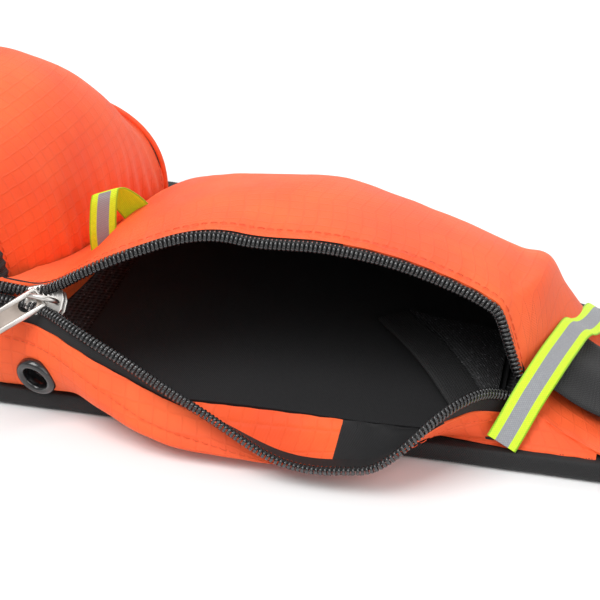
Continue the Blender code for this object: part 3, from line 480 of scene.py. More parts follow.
class Finish:
    def __init__(self, name, rough=0.6, metal=0.0):
        self.material = bpy.data.materials.new(name)
        self.material.use_nodes = True
        self.tree = self.material.node_tree
        self.shader = self.tree.nodes["Principled BSDF"]
        self.shader.inputs["Roughness"].default_value = rough
        self.shader.inputs["Metallic"].default_value = metal

    def node(self, kind, **values):
        node = self.tree.nodes.new(kind)
        for key, value in values.items():
            node.inputs[key.replace("_", " ")].default_value = value
        return node

    def place(self, uv=False):
        if uv:
            node = self.tree.nodes.new("ShaderNodeUVMap")
            node.uv_map = "surface"
            return node.outputs["UV"]
        return self.node("ShaderNodeTexCoord").outputs["Object"]

    def group(self, tree, place, **values):
        node = self.tree.nodes.new("ShaderNodeGroup")
        node.node_tree = tree
        self.tree.links.new(place, node.inputs["Place"])
        for key, value in values.items():
            node.inputs[key].default_value = value
        return node

    def ramp(self, value, stops):
        node = self.tree.nodes.new("ShaderNodeValToRGB")
        while len(node.color_ramp.elements) < len(stops):
            node.color_ramp.elements.new(0.5)
        for element, (position, colour) in zip(node.color_ramp.elements, stops):
            element.position = position
            element.color = (*colour, 1)
        self.tree.links.new(value, node.inputs["Fac"])
        return node.outputs["Color"]

    def times(self, value, factor):
        return mathNode(self.tree, "MULTIPLY", value, factor)

    def mix(self, share, first, second, how="MIX"):
        node = self.tree.nodes.new("ShaderNodeMix")
        node.data_type = "RGBA"
        node.blend_type = how
        for slot, value in ((0, share), (6, first), (7, second)):
            if isinstance(value, (int, float)):
                node.inputs[slot].default_value = value
            elif isinstance(value, tuple):
                node.inputs[slot].default_value = (*value, 1)
            else:
                self.tree.links.new(value, node.inputs[slot])
        return node.outputs[2]

    def colour(self, value):
        self.tree.links.new(value, self.shader.inputs["Base Color"])
        return self

    def rough(self, value, low, high):
        node = self.node("ShaderNodeMapRange", To_Min=low, To_Max=high)
        self.tree.links.new(value, node.inputs["Value"])
        self.tree.links.new(node.outputs["Result"], self.shader.inputs["Roughness"])
        return self

    def bumps(self, *layers):
        # each layer is (height, distance in metres, strength)
        before = None
        for height, distance, strength in layers:
            node = self.node("ShaderNodeBump", Distance=distance, Strength=strength)
            self.tree.links.new(height, node.inputs["Height"])
            if before:
                self.tree.links.new(before, node.inputs["Normal"])
            before = node.outputs["Normal"]
        self.tree.links.new(before, self.shader.inputs["Normal"])
        return self


def ripstopFinish(name, light, shadedTone, sheen):
    made = Finish(name)
    place = made.place(uv=True)
    weave = made.group(ripstopWeave, place, Grid=0.0046, Thread=0.00042)
    crease = made.group(clothCreases, made.place(), Broad=32.0, Fine=150.0)
    # painted shade: the cloth's colour runs from a shaded tone in the low parts of the broad lumps to a lit tone
    # on their high parts, as in creases; the grid lines are a darker copy of the shaded tone
    base = made.ramp(crease.outputs["Tint"], [(0.3, shadedTone), (0.7, light)])
    made.colour(made.mix(made.times(weave.outputs["Grid Mask"], 0.16), base, tuple(c * 0.72 for c in shadedTone)))
    made.rough(crease.outputs["Tint"], 0.52, 0.68)
    made.bumps((crease.outputs["Height"], 0.0012, 0.35), (weave.outputs["Height"], 0.00016, 0.8))
    made.shader.inputs["Sheen Weight"].default_value = sheen
    made.shader.inputs["Sheen Roughness"].default_value = 0.4
    made.shader.inputs["Sheen Tint"].default_value = (1.0, 0.55, 0.35, 1)
    return made.material


def wovenFinish(name, dark, pale, along, across, depth, uv=True):
    made = Finish(name)
    threads = made.group(tapeThreads, made.place(uv), Along=along, Across=across)
    made.colour(made.ramp(threads.outputs["Shine"], [(0.1, dark), (0.75, pale)]))
    made.rough(threads.outputs["Height"], 0.8, 0.55)
    made.bumps((threads.outputs["Height"], depth, 0.9))
    made.shader.inputs["Sheen Weight"].default_value = 0.04
    made.shader.inputs["Sheen Roughness"].default_value = 0.45
    return made.material


def meshFinish(name, cell):
    # knitted mesh: dark holes between pale-edged threads
    made = Finish(name, 0.8)
    holes = made.node("ShaderNodeTexVoronoi", Scale=1 / cell, Randomness=0.12)
    made.tree.links.new(made.place(uv=True), holes.inputs["Vector"])
    speck = made.node("ShaderNodeTexNoise", Scale=1.4 / cell, Detail=3.0)
    made.tree.links.new(made.place(uv=True), speck.inputs["Vector"])
    threads = made.ramp(holes.outputs["Distance"],
                        [(0.28, (0.004, 0.004, 0.004)), (0.5, (0.05, 0.05, 0.053))])
    flecks = made.ramp(speck.outputs[0], [(0.62, (0, 0, 0)), (0.74, (0.35, 0.35, 0.36))])
    made.colour(made.mix(1.0, threads, flecks, "ADD"))
    made.bumps((holes.outputs["Distance"], 0.0006, 0.9))
    return made.material


def hiVisFinish(name, striped):
    # fluorescent tape, with a grey reflective stripe down its middle on one side, and its colour also given as a
    # painted glow that keeps it bright in shade
    made = Finish(name, 0.5)
    place = made.place(uv=True)
    split = made.node("ShaderNodeSeparateXYZ")
    made.tree.links.new(place, split.inputs[0])
    grey, fluor, edge = (0.30, 0.31, 0.33), (0.66, 0.95, 0.02), (0.32, 0.62, 0.02)
    stripe = hiVis["stripe"] / hiVis["width"] * striped
    spread = made.times(mathNode(made.tree, "ABSOLUTE", split.outputs["Y"]), 2 / hiVis["width"])
    middle = grey if striped else fluor
    colour = made.ramp(spread, [(stripe, middle), (stripe + 0.03, fluor), (0.86, fluor), (0.95, edge)])
    threads = made.group(tapeThreads, place, Along=0.0007, Across=0.0010)
    shade = made.ramp(threads.outputs["Shine"], [(0.0, (0.72, 0.72, 0.72)), (0.6, (1.0, 1.0, 1.0))])
    shaded = made.mix(1.0, colour, shade, "MULTIPLY")
    made.colour(shaded)
    # painted glow: the tape's colour as emission, so that it stays bright where it lies in shade
    made.tree.links.new(shaded, made.shader.inputs["Emission Color"])
    made.shader.inputs["Emission Strength"].default_value = 0.14
    made.bumps((threads.outputs["Height"], 0.00012, 0.8))
    return made.material


def metalFinish(name, bright, dull, rough, wear):
    made = Finish(name, rough, 1.0)
    crease = made.group(clothCreases, made.place(), Broad=wear, Fine=wear * 9)
    made.colour(made.ramp(crease.outputs["Tint"], [(0.35, dull), (0.62, bright)]))
    made.rough(crease.outputs["Height"], rough * 0.7, rough * 1.5)
    made.bumps((crease.outputs["Height"], 0.00006, 0.5))
    return made.material


def plasticFinish(name, colour, rough, coat):
    made = Finish(name, rough)
    grain = made.node("ShaderNodeTexNoise", Scale=1500.0, Detail=4.0)
    made.tree.links.new(made.place(), grain.inputs["Vector"])
    broad = made.group(clothCreases, made.place(), Broad=30.0, Fine=400.0)
    made.colour(made.ramp(broad.outputs["Tint"], [(0.3, tuple(c * 0.7 for c in colour)), (0.7, colour)]))
    made.rough(broad.outputs["Height"], rough * 0.85, rough * 1.2)
    made.bumps((grain.outputs[0], 0.00005, 0.5))
    made.shader.inputs["Coat Weight"].default_value = coat
    made.shader.inputs["Coat Roughness"].default_value = 0.15
    return made.material


hiVis = {"width": 0.010, "stripe": 0.0044, "thick": 0.0006}
webTones = ((0.002, 0.002, 0.0024), (0.015, 0.015, 0.0165))
# the lit orange and the painted-shade orange of the ripstop
orange = ripstopFinish("orangeRipstop", (0.96, 0.135, 0.024), (0.86, 0.080, 0.013), 0.08)
webBlack = wovenFinish("blackWebbing", *webTones, 0.0010, 0.0012, 0.00015)
webFlat = wovenFinish("freeWebbing", *webTones, 0.0010, 0.0012, 0.00016, uv=False)
bindBlack = wovenFinish("blackBinding", (0.0016, 0.0016, 0.002), (0.0105, 0.0105, 0.012), 0.0007, 0.0011,
                        0.00012)
tapeBlack = wovenFinish("zipTapeCloth", (0.0014, 0.0014, 0.0018), (0.007, 0.007, 0.008), 0.0006, 0.0006,
                        0.00008)
liningGrey = wovenFinish("greyLining", (0.004, 0.004, 0.0046), (0.018, 0.018, 0.020), 0.0007, 0.0007, 0.0001)
facingBlack = wovenFinish("blackFacing", (0.002, 0.002, 0.0026), (0.011, 0.011, 0.0125), 0.0005, 0.0005,
                          0.00006)
elasticBlack = wovenFinish("blackElastic", (0.003, 0.003, 0.003), (0.020, 0.020, 0.022), 0.0009, 0.0009,
                           0.00014)
airMesh = meshFinish("blackMesh", 0.0019)
netMesh = meshFinish("innerNet", 0.0013)
hiVisTape = hiVisFinish("hiVisTape", 1.0)
hiVisPlain = hiVisFinish("hiVisPlain", 0.0)
nickel = metalFinish("dullNickel", (0.72, 0.70, 0.67), (0.46, 0.43, 0.40), 0.30, 90.0)
# painted reflection: the pull's recess is darker, brownish metal that stands in for the orange cloth reflected in
# it
recessReflection = metalFinish("wornRecess", (0.40, 0.34, 0.30), (0.24, 0.20, 0.17), 0.45, 120.0)
lacquer = plasticFinish("blackLacquer", (0.012, 0.012, 0.013), 0.22, 0.6)
coilBlack = plasticFinish("coilNylon", (0.012, 0.012, 0.013), 0.22, 0.9)
buckleBlack = plasticFinish("buckleNylon", (0.022, 0.022, 0.024), 0.42, 0.0)
orangeThread = plasticFinish("orangeThread", (0.88, 0.10, 0.016), 0.6, 0.0)
blackThread = plasticFinish("blackThread", (0.014, 0.014, 0.015), 0.55, 0.0)
print("materials done")

stitchUnit = stitchShape(0.0020, 0.00032, 0.00022)


# ---- the pouches' shape, right side, as it is when the zip is closed

panel = {"hingeX": 0.240, "farY": 0.076, "farFlatHalf": 0.061, "farEndY": 0.009, "nearY": -0.078,
         "padTop": 0.007,
         "inset": 0.0025}
pouch = {
    "startX": 0.0475, "endX": 0.237, "seamInset": 0.0098, "tilt": math.radians(50), "cloth": 0.0009,
    "shoulder": 0.19, "foldUpper": 0.0044, "foldLower": 0.0074, "tapeUpper": 0.0050, "tapeLower": 0.0082,
    "zipEndX": 0.2100, "slack": 0.0010,
    "rise": [(0.047, 0.001), (0.060, 0.010), (0.074, 0.034), (0.098, 0.053), (0.127, 0.050), (0.155, 0.043),
             (0.180, 0.041), (0.200, 0.040), (0.213, 0.047), (0.224, 0.045), (0.234, 0.036)],
    "swell": [(0.047, -0.015), (0.060, -0.012), (0.073, 0.002), (0.085, 0.009), (0.165, 0.010),
              (0.205, 0.004),
              (0.234, 0.0)],
    "fall": [(0.203, 1.0), (0.2105, 0.9), (0.2165, 0.62), (0.222, 0.42), (0.228, 0.24), (0.237, 0.02)],
    "bowOut": [(0.056, 0.0), (0.075, 0.0040), (0.095, 0.0016), (0.120, 0.0), (0.145, 0.0), (0.165, -0.0012),
               (0.185, -0.0004), (0.196, 0.0012), (0.205, 0.0)],
    "bowUp": [(0.056, 0.0), (0.075, 0.0026), (0.095, 0.0006), (0.120, 0.0), (0.145, 0.0052), (0.165, 0.0066),
              (0.185, 0.0054), (0.196, 0.0036), (0.205, 0.0)],
    "belly": [(0.047, 0.0050), (0.070, 0.0060), (0.085, 0.0085), (0.105, 0.0090), (0.130, 0.0070),
              (0.160, 0.0035),
              (0.190, 0.0020), (0.234, 0.0)],
    "sag": [(0.072, 0.0), (0.088, 0.0040), (0.102, 0.0095), (0.125, 0.0130), (0.145, 0.0100), (0.165, 0.0055),
            (0.190, 0.0)],
}
zipAxis = np.array(joints["slider_right_run"]["axis"])
upperPivot = np.array(joints["upper_flap_seam"]["pos_m"])
upperAxis = np.array(joints["upper_flap_seam"]["axis"])
upperOpen = math.radians(joints["upper_flap_seam"]["range_deg"][1])
lowerPivot = np.array(joints["lower_flap_seam"]["pos_m"])
lowerAxis = np.array(joints["lower_flap_seam"]["axis"])
lowerOpen = math.radians(joints["lower_flap_seam"]["range_deg"][1])
zipAcross = np.array((0, math.cos(pouch["tilt"]), math.sin(pouch["tilt"])))
zipOutward = np.array((0, -math.sin(pouch["tilt"]), math.cos(pouch["tilt"])))
pullSeat = np.array(joints["pull_right_hinge"]["pos_m"])
zipStart = pullSeat + zipAxis * 0.0014 - zipOutward * 0.0048

# how far each flap opens along the zip: from nothing at one X, to all the way, and back to nothing
upperRun = {"from": 0.0556, "full": 0.1174, "until": 0.1972, "to": 0.213, "middle": 0.150}
lowerRun = {"from": 0.051, "full": 0.159, "until": 0.168, "to": 0.217, "middle": 0.1635}


def farEdge(x):
    share = np.clip((np.abs(x) - panel["farFlatHalf"]) / (panel["hingeX"] - panel["farFlatHalf"]), 0, 1.2)
    return panel["farY"] + share * (panel["farEndY"] - panel["farY"])


def zipLine(x):
    x = np.asarray(x, float)
    share = (x - zipStart[0]) / zipAxis[0]
    line = zipStart + share[..., None] * zipAxis
    line[..., 1] -= through(pouch["bowOut"], x)
    line[..., 2] += through(pouch["bowUp"], x)
    return line


def closing(x):
    # past the zip's end the two edges of cloth come together
    return smooth((0.2165 - x) / 0.008)


def frontProfile(x, v):
    # the closed front at x: v runs from the zip (0) over the top to the far seam (1)
    x, v = np.broadcast_arrays(np.asarray(x, float), np.asarray(v, float))
    fall = through(pouch["fall"], x)
    start = zipLine(x) + zipAcross * pouch["foldUpper"] * closing(x)[..., None] + zipOutward * pouch["slack"]
    foot = np.stack([x, np.full_like(x, lowerPivot[1] + 0.0008), np.full_like(x, lowerPivot[2] + 0.0006)], -1)
    start = foot + (start - foot) * fall[..., None]
    seamY = farEdge(x) - pouch["seamInset"]
    seam = np.stack([x, seamY, np.full_like(x, panel["padTop"] + 0.0004)], -1)
    span = seam[..., 1] - start[..., 1]
    first = start.copy()
    first[..., 1] += pouch["shoulder"] * span
    first[..., 2] += through(pouch["swell"], x) * fall
    last = seam.copy()
    last[..., 1] -= pouch["shoulder"] * span
    last[..., 2] += through(pouch["rise"], x) * fall
    t = v[..., None]
    return start * (1 - t)**3 + first * 3 * t * (1 - t)**2 + last * 3 * t * t * (1 - t) + seam * t**3


def wallProfile(x, v):
    # the closed near wall at x: v runs from the binding (0) up to the zip (1)
    x, v = np.broadcast_arrays(np.asarray(x, float), np.asarray(v, float))
    fall = through(pouch["fall"], x)[..., None]
    root = np.stack([x, np.full_like(x, lowerPivot[1] + 0.0002), np.full_like(x, lowerPivot[2] - 0.001)], -1)
    top = zipLine(x) - zipAcross * pouch["foldLower"] * closing(x)[..., None] + zipOutward * pouch["slack"]
    low = root + np.array((0, 0.001, 0.0015))
    top = low + (top - low) * fall
    belly = through(pouch["belly"], x)[..., None] * fall
    middle = (root + top) / 2 + np.array((0, -1.0, -0.2)) * belly * 1.6
    t = v[..., None]
    return root * (1 - t)**2 + middle * 2 * t * (1 - t) + top * t * t


def upperPlace(x):
    # a distance along the upper flap's hinge line for a point of the zip at x
    return float((zipLine(x) - upperPivot) @ upperAxis)


def openUpper(points):
    q = (np.asarray(points) - upperPivot) @ upperAxis
    a, b, c, d = (upperPlace(upperRun[k]) for k in ("from", "full", "until", "to"))
    share = smooth((q - a) / (b - a)) * smooth((d - q) / (d - c))
    return turn(points, upperPivot, upperAxis, -upperOpen * share)


def openLower(points):
    x = np.asarray(points)[..., 0]
    share = smooth((x - lowerRun["from"]) / (lowerRun["full"] - lowerRun["from"]))
    share = share * smooth((lowerRun["to"] - x) / (lowerRun["to"] - lowerRun["until"]))
    return turn(points, lowerPivot, lowerAxis, -lowerOpen * share)


def blendUpper(obj, half):
    first, last = ("from", "full") if half == "inner" else ("until", "to")
    ends = [upperPivot + upperAxis * upperPlace(upperRun[k]) for k in (first, last)]
    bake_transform(obj)


def blendLower(obj, half):
    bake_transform(obj)


# ---- fronts, walls and zips

wrinkle = {"broad": 0.0011, "broadSize": 0.034, "fine": 0.00035, "fineSize": 0.009, "pucker": 0.0005,
           "puckerPitch": 0.0085}


def clothWaves(grid, seed, v, edgePower=1.0):
    # soft folds over the cloth, and puckers beside its two seams
    normal = gridNormal(grid)
    run = arcLength(grid, 0)
    inside = smooth(v / 0.10) * smooth((1 - v) / 0.10)
    waves = wrinkle["broad"] * lump(grid, wrinkle["broadSize"], seed) * inside
    stretched = grid * np.array((1.0, 0.4, 0.4))
    waves += wrinkle["fine"] * lump(stretched, wrinkle["fineSize"], seed + 4) * inside
    beside = np.exp(-v / 0.07) + np.exp(-(1 - v) / 0.09)
    ripple = np.sin(2 * math.pi * run / wrinkle["puckerPitch"] + 2.5 * lump(grid, 0.02, seed + 9))
    waves += wrinkle["pucker"] * ripple * beside * smooth(v / 0.03) * smooth((1 - v) / 0.03) * edgePower
    return grid + normal * waves[..., None]


def frontGrid(x0, x1, cols, rows):
    # the front's inner end follows the bottle pocket's side
    share = np.linspace(0, 1, cols)[:, None]
    v = np.linspace(0, 1, rows)[None, :]
    guide = frontProfile(np.full((1, rows), x0), v)
    start = np.maximum(x0, pocketHalf(guide[..., 1]) + pocket["clear"])
    x = start + (x1 - start) * share
    return frontProfile(x, v), np.broadcast_to(v, x.shape)


pocket = {
    "half": [(-0.062, 0.0425), (-0.020, 0.0515), (0.020, 0.0560), (0.050, 0.0580), (0.064, 0.0585)],
    "top": [(-0.062, 0.066), (-0.040, 0.076), (0.000, 0.081), (0.025, 0.078), (0.045, 0.067), (0.064, 0.047)],
    "square": 2.6, "band": 0.010, "endBulge": 0.006, "wall": 0.0010, "clear": 0.0006,
}


def pocketHalf(y):
    return through(pocket["half"], y)


# the front is lined past this X, and the wall has a dark facing between these two
frontLinedFrom, facingRun = 0.088, (0.158, 0.190)


def buildFronts():
    grid, v = frontGrid(pouch["startX"], pouch["endX"], 190, 96)
    closed = clothWaves(grid, 3, v)
    uvs = np.stack([arcLength(closed, 0), arcLength(closed, 1)], -1)
    opened = openUpper(closed)
    row = int(np.argmin(np.abs(grid[:, 0, 0] - upperRun["middle"])))
    inner = clothSheet("rightPouchFrontInner", opened[:row + 1], pouch["cloth"], orange, liningGrey,
                       uvs[:row + 1], lambda p: p[:, 0] > frontLinedFrom)
    outer = clothSheet("rightPouchFrontOuter", opened[row:], pouch["cloth"], orange, liningGrey, uvs[row:])
    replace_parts(inner, "front_inner_right", "front_flap_right")
    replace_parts(outer, "front_outer_right")
    for piece, half in ((inner, "inner"), (outer, "outer")):
        blendUpper(piece, half)
    left = clothWaves(grid, 8, v) * np.array((-1, 1, 1))
    piece = clothSheet("leftPouchFront", left[::-1], pouch["cloth"], orange, liningGrey, uvs[::-1])
    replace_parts(piece, "front_left")
    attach(piece, "root")


def buildWalls():
    x = np.linspace(pouch["startX"], pouch["endX"] - 0.003, 230)[:, None]
    v = np.linspace(0, 1, 30)[None, :]
    grid = wallProfile(x, v)
    vFull = np.broadcast_to(v, grid.shape[:2])
    closed = clothWaves(grid, 5, vFull, 0.7)
    uvs = np.stack([arcLength(closed, 0), arcLength(closed, 1)], -1)
    opened = openLower(closed)
    opened[..., 1] -= through(pouch["sag"], x) * np.sin(math.pi * v)
    row = int(np.argmin(np.abs(x[:, 0] - lowerRun["middle"])))
    names = (("rightPouchWallInner", slice(0, row + 1), "inner", ("gusset_inner_right", "gusset_flap_right")),
             ("rightPouchWallOuter", slice(row, None), "outer", ("gusset_outer_right",)))
    for name, part, half, nodes in names:
        piece = clothSheet(name, opened[part], pouch["cloth"], orange, facingBlack, uvs[part],
                           lambda p: (p[:, 0] > facingRun[0]) & (p[:, 0] < facingRun[1]))
        if half == "inner":
            cutHole(piece, 1)
        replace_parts(piece, *nodes)
        blendLower(piece, half)
    left = (clothWaves(grid, 11, vFull, 0.7) * np.array((-1, 1, 1)))[::-1]
    piece = clothSheet("leftPouchWall", left, pouch["cloth"], orange, facingBlack, uvs[::-1])
    cutHole(piece, -1)
    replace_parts(piece, "gusset_left")
    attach(piece, "root")


eyeletShape = {"x": 0.0625, "share": 0.36, "outer": 0.0068, "hole": 0.0040, "rise": 0.0017, "cut": 0.0050}


def eyeletSeat(side):
    # the middle of the eyelet on the wall's cloth, and the way that it faces
    x, v, step = eyeletShape["x"], eyeletShape["share"], 0.001
    here = openLower(wallProfile(x, v))
    along = openLower(wallProfile(x + step, v)) - here
    up = openLower(wallProfile(x, v + 0.05)) - here
    out = unit(np.cross(along, up))
    out = out * np.sign(-out[1])
    flip = np.array((side, 1, 1))
    return here * flip, out * flip, unit(up) * flip


def cutHole(piece, side):
    # the cloth behind the eyelet's ring is cut away
    centre = Vector(eyeletSeat(side)[0])
    bm = bmesh.new()
    bm.from_mesh(piece.data)
    inside = [f for f in bm.faces if (f.calc_center_median() - centre).length < eyeletShape["cut"]]
    bmesh.ops.delete(bm, geom=inside, context="FACES")
    edges = [e for e in bm.edges if e.is_boundary]
    bmesh.ops.bridge_loops(bm, edges=edges)
    bm.to_mesh(piece.data)
    bm.free()


zipParts = {"coilPitch": 0.00135, "coilReach": 0.0030, "coilHigh": 0.0021, "coilInset": 0.0004,
            "tapeThick": 0.0008, "startInset": 0.0012, "step": 0.0008}
coilUnit = coilShape(zipParts["coilPitch"], zipParts["coilReach"], zipParts["coilHigh"])


def zipHalf(name, xs, sign, opener):
    # one half of the zip: its tape, its coil and the stitches that hold the coil
    line = zipLine(xs)
    v = np.linspace(0.0008, pouch["tapeUpper" if sign > 0 else "tapeLower"], 5)
    grid = line[:, None] + zipAcross * sign * v[None, :, None] + zipOutward * 0.00045
    if sign < 0:
        grid = grid[:, ::-1]
    level = v if sign > 0 else v[::-1]
    uvs = np.stack(np.broadcast_arrays(arcLength(line, 0)[:, None], level[None]), -1)
    pieces = [clothSheet(name + "Tape", opener(grid), zipParts["tapeThick"], tapeBlack, tapeBlack, uvs)]
    inset = zipParts["coilReach"] * 0.5 + zipParts["coilInset"]
    seat = opener(line + zipAcross * sign * inset + zipOutward * 0.0008)
    base = line + zipAcross * sign * 0.002
    up = opener(base + zipOutward * 0.001) - opener(base)
    if sign < 0:
        seat, up = seat[::-1], up[::-1]
    pieces.append(copies(name + "Coil", [(seat, unit(up))], coilUnit, zipParts["coilPitch"], coilBlack))
    thread = opener(line + zipAcross * sign * (zipParts["coilReach"] * 0.78) + zipOutward * 0.0020)
    out = unit(up) if sign > 0 else unit(up[::-1])
    pieces.append(copies(name + "CoilStitch", [(thread, out)], stitchUnit, 0.0023, blackThread, 0.9, 0.1, 4))
    return joined(name, pieces)


def seamStitches(name, lines, pitch=0.0029, finish=None, seed=2):
    return copies(name, lines, stitchUnit, pitch, finish or orangeThread, 1.0, 0.12, seed)


def buildZips():
    startX, endX = pouch["startX"] + zipParts["startInset"], pouch["zipEndX"]
    runs = {"upper": (1, openUpper, upperRun["middle"], "zip_inner_right", "zip_upper_right"),
            "lower": (-1, openLower, lowerRun["middle"], "zip_outer_right", "zip_lower_right")}
    for word, (sign, opener, middle, *nodes) in runs.items():
        blender = blendUpper if sign > 0 else blendLower
        for half, x0, x1 in (("inner", startX, middle), ("outer", middle, endX)):
            xs = np.linspace(x0, x1, int((x1 - x0) / zipParts["step"]))
            piece = zipHalf(f"rightZip_{word}_{half}", xs, sign, opener)
            if half == "inner":
                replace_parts(piece, *nodes)
            blender(piece, half)
    xs = np.linspace(startX, endX, 200)
    parts = [zipHalf("leftZip" + w, xs, s, lambda p: p) for w, s in (("Upper", 1), ("Lower", -1))]
    whole = joined("leftZipHalves", parts)
    left = mirroredCopy(whole, "leftZip")
    bpy.data.objects.remove(whole)
    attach(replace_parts(left, "zip_left"), "root")


# a row of topstitching beside the zip on each lip: where it lies across the cloth, and the X it runs between
topStitch = {"front": (0.045, 0.056), "wall": (0.80, 0.053), "endX": 0.208, "lift": 0.0004}


def stitchLine(profile, x, share, opener):
    line = profile(x, np.full_like(x, share))
    step = profile(x, np.full_like(x, share + 0.01)) - line
    out = unit(np.cross(np.gradient(line, axis=0), step))
    lifted = line + out * topStitch["lift"]
    return opener(lifted), unit(opener(lifted + out * 0.001) - opener(lifted))


def buildStitching():
    share, startX = topStitch["front"]
    middle, endX = upperRun["middle"], topStitch["endX"]
    for half, x0, x1 in (("inner", startX, middle), ("outer", middle, endX)):
        xs = np.linspace(x0, x1, 120)
        piece = seamStitches(f"rightFrontStitches_{half}", [stitchLine(frontProfile, xs, share, openUpper)])
        blendUpper(piece, half)
    share, startX = topStitch["wall"]
    middle = lowerRun["middle"]
    for half, x0, x1 in (("inner", startX, middle), ("outer", middle, endX)):
        xs = np.linspace(x0, x1, 120)
        line, out = stitchLine(wallProfile, xs, share, openLower)
        line[:, 1] -= through(pouch["sag"], xs) * math.sin(math.pi * share)
        piece = seamStitches(f"rightWallStitches_{half}", [(line, out)])
        blendLower(piece, half)


buildFronts()
buildWalls()
buildZips()
buildStitching()
print("pouches done")


# ---- bottle pocket

def pocketRing(y, angle, grow=0.0):
    half = pocketHalf(y) + grow
    low = panel["padTop"] + 0.0002
    rise = through(pocket["top"], y) - low + grow
    c, s = np.cos(angle), np.sin(angle)
    x = half * np.sign(c) * np.abs(c) ** (2 / pocket["square"])
    return np.stack(np.broadcast_arrays(x, y, low + rise * np.abs(s) ** (2 / pocket["square"])), -1)


def buildBottlePocket():
    first, last = pocket["top"][0][0], pocket["top"][-1][0]
    y = np.linspace(first + pocket["band"] * 0.5, last, 110)[:, None]
    angle = np.linspace(0, math.pi, 170)[None, :]
    grid = pocketRing(y, angle)
    v = np.broadcast_to((angle / math.pi), grid.shape[:2])
    grid = clothWaves(grid, 21, v, 1.4)
    body = clothSheet("bottlePocket", grid, pocket["wall"], orange, facingBlack)
    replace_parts(body, "bottle_pocket")
    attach(body, "root")

    y = np.linspace(first, first + pocket["band"], 26)[:, None]
    band = pocketRing(y, np.linspace(0, math.pi, 420)[None, :], 0.0010)
    gather = 0.00035 * np.sin(2 * math.pi * arcLength(band, 1) / 0.0031)
    roll = 0.0011 * np.sin(math.pi * np.linspace(0, 1, 26))[:, None]
    band = band + gridNormal(band) * (gather + roll)[..., None]
    piece = clothSheet("bottleMouthBand", band, 0.0030, elasticBlack, elasticBlack)
    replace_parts(piece, "bottle_mouth_band")
    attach(piece, "root")

    share = np.linspace(0, 0.97, 34)[:, None]
    ring = pocketRing(np.array(last), np.linspace(0, math.pi, 120)[None, :])
    low = panel["padTop"] + 0.0002
    bulge = pocket["endBulge"] * (1 - (1 - share) ** 2)
    x = ring[..., 0] * (1 - share)
    z = low + (ring[..., 2] - low) * (1 - share)
    cap = np.stack([x, np.broadcast_to(last - 0.0004 + bulge, x.shape), z], -1)
    piece = clothSheet("bottleEndMesh", cap, 0.0012, airMesh, airMesh)
    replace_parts(piece, "bottle_end_mesh")
    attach(piece, "root")

    angles = np.linspace(0.02, math.pi - 0.02, 200)
    lines = []
    for place in (first + pocket["band"] + 0.0018, last - 0.004):
        line = pocketRing(np.full_like(angles, place), angles, 0.0004)
        lines.append((line, unit(line - np.array((0, place, 0.03)))))
    stitches = seamStitches("bottlePocketStitches", lines, seed=6)
    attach(stitches, "root")
    seam = pocketRing(np.full_like(angles, last), angles, 0.0003)
    piping = tube("bottleEndSeam", seam, 0.0011, orange, 8)
    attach(piping, "root")


buildBottlePocket()
print("bottle pocket done")


# ---- back panel and bindings

def panelPath(spacing):
    # the panel's far edge from the right end to the left, with rounded corners
    end = panel["hingeX"] - panel["inset"]
    slope = math.atan2(panel["farY"] - panel["farEndY"], panel["hingeX"] - panel["farFlatHalf"])
    radius = 0.030
    centre = (panel["farFlatHalf"] - radius * math.tan(slope / 2), panel["farY"] - radius)
    turns = np.linspace(math.pi / 2 - slope, math.pi / 2, 12)
    corner = [(centre[0] + radius * math.cos(t), centre[1] + radius * math.sin(t)) for t in turns]
    right = [(end, float(farEdge(end)))] + corner
    path = right + [(-x, y) for x, y in reversed(right)]
    return resample(np.array([(x, y, 0.0) for x, y in path]), spacing)


bindingShape = {"width": 0.0088, "wall": 0.0010, "rim": 0.0060, "nose": 0.0012, "pitch": 0.00085,
                "rib": 0.00010, "wave": 0.0003, "step": 0.00042}


def bindingProfile():
    s = bindingShape
    w, t, h, r = s["width"], s["wall"], s["rim"], s["nose"]
    nose = [(r * math.sin(a), h / 2 - math.cos(a) * h / 2) for a in np.linspace(0.0, math.pi, 11)]
    top = [(-w * 0.5, h + 0.0001), (-w, h - 0.0001), (-w, h - t)]
    return [(-w, 0.0)] + nose + top + [(-0.0002, h - t), (-0.0002, t), (-w, t)]


def buildBinding(name, path, body, nodes, seed):
    # path has the panel on its left
    ahead = unit(np.gradient(path, axis=0))
    across = np.stack([ahead[:, 1], -ahead[:, 0], np.zeros(len(path))], -1)
    normal = np.broadcast_to((0.0, 0.0, 1.0), path.shape)
    s = bindingShape
    wavy = path + across * (s["wave"] * lump(path, 0.018, seed))[:, None]
    tape = sweep(name, wavy, bindingProfile(), across, normal, bindBlack, s["pitch"], s["rib"])
    line = wavy - across * (s["width"] - 0.0019) + normal * (s["rim"] + 0.00015)
    stitches = seamStitches(name + "Stitches", [(line, (0, 0, 1.0))], 0.0030, blackThread, seed)
    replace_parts(tape, *nodes)
    for piece in (tape, stitches):
        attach(piece, body)


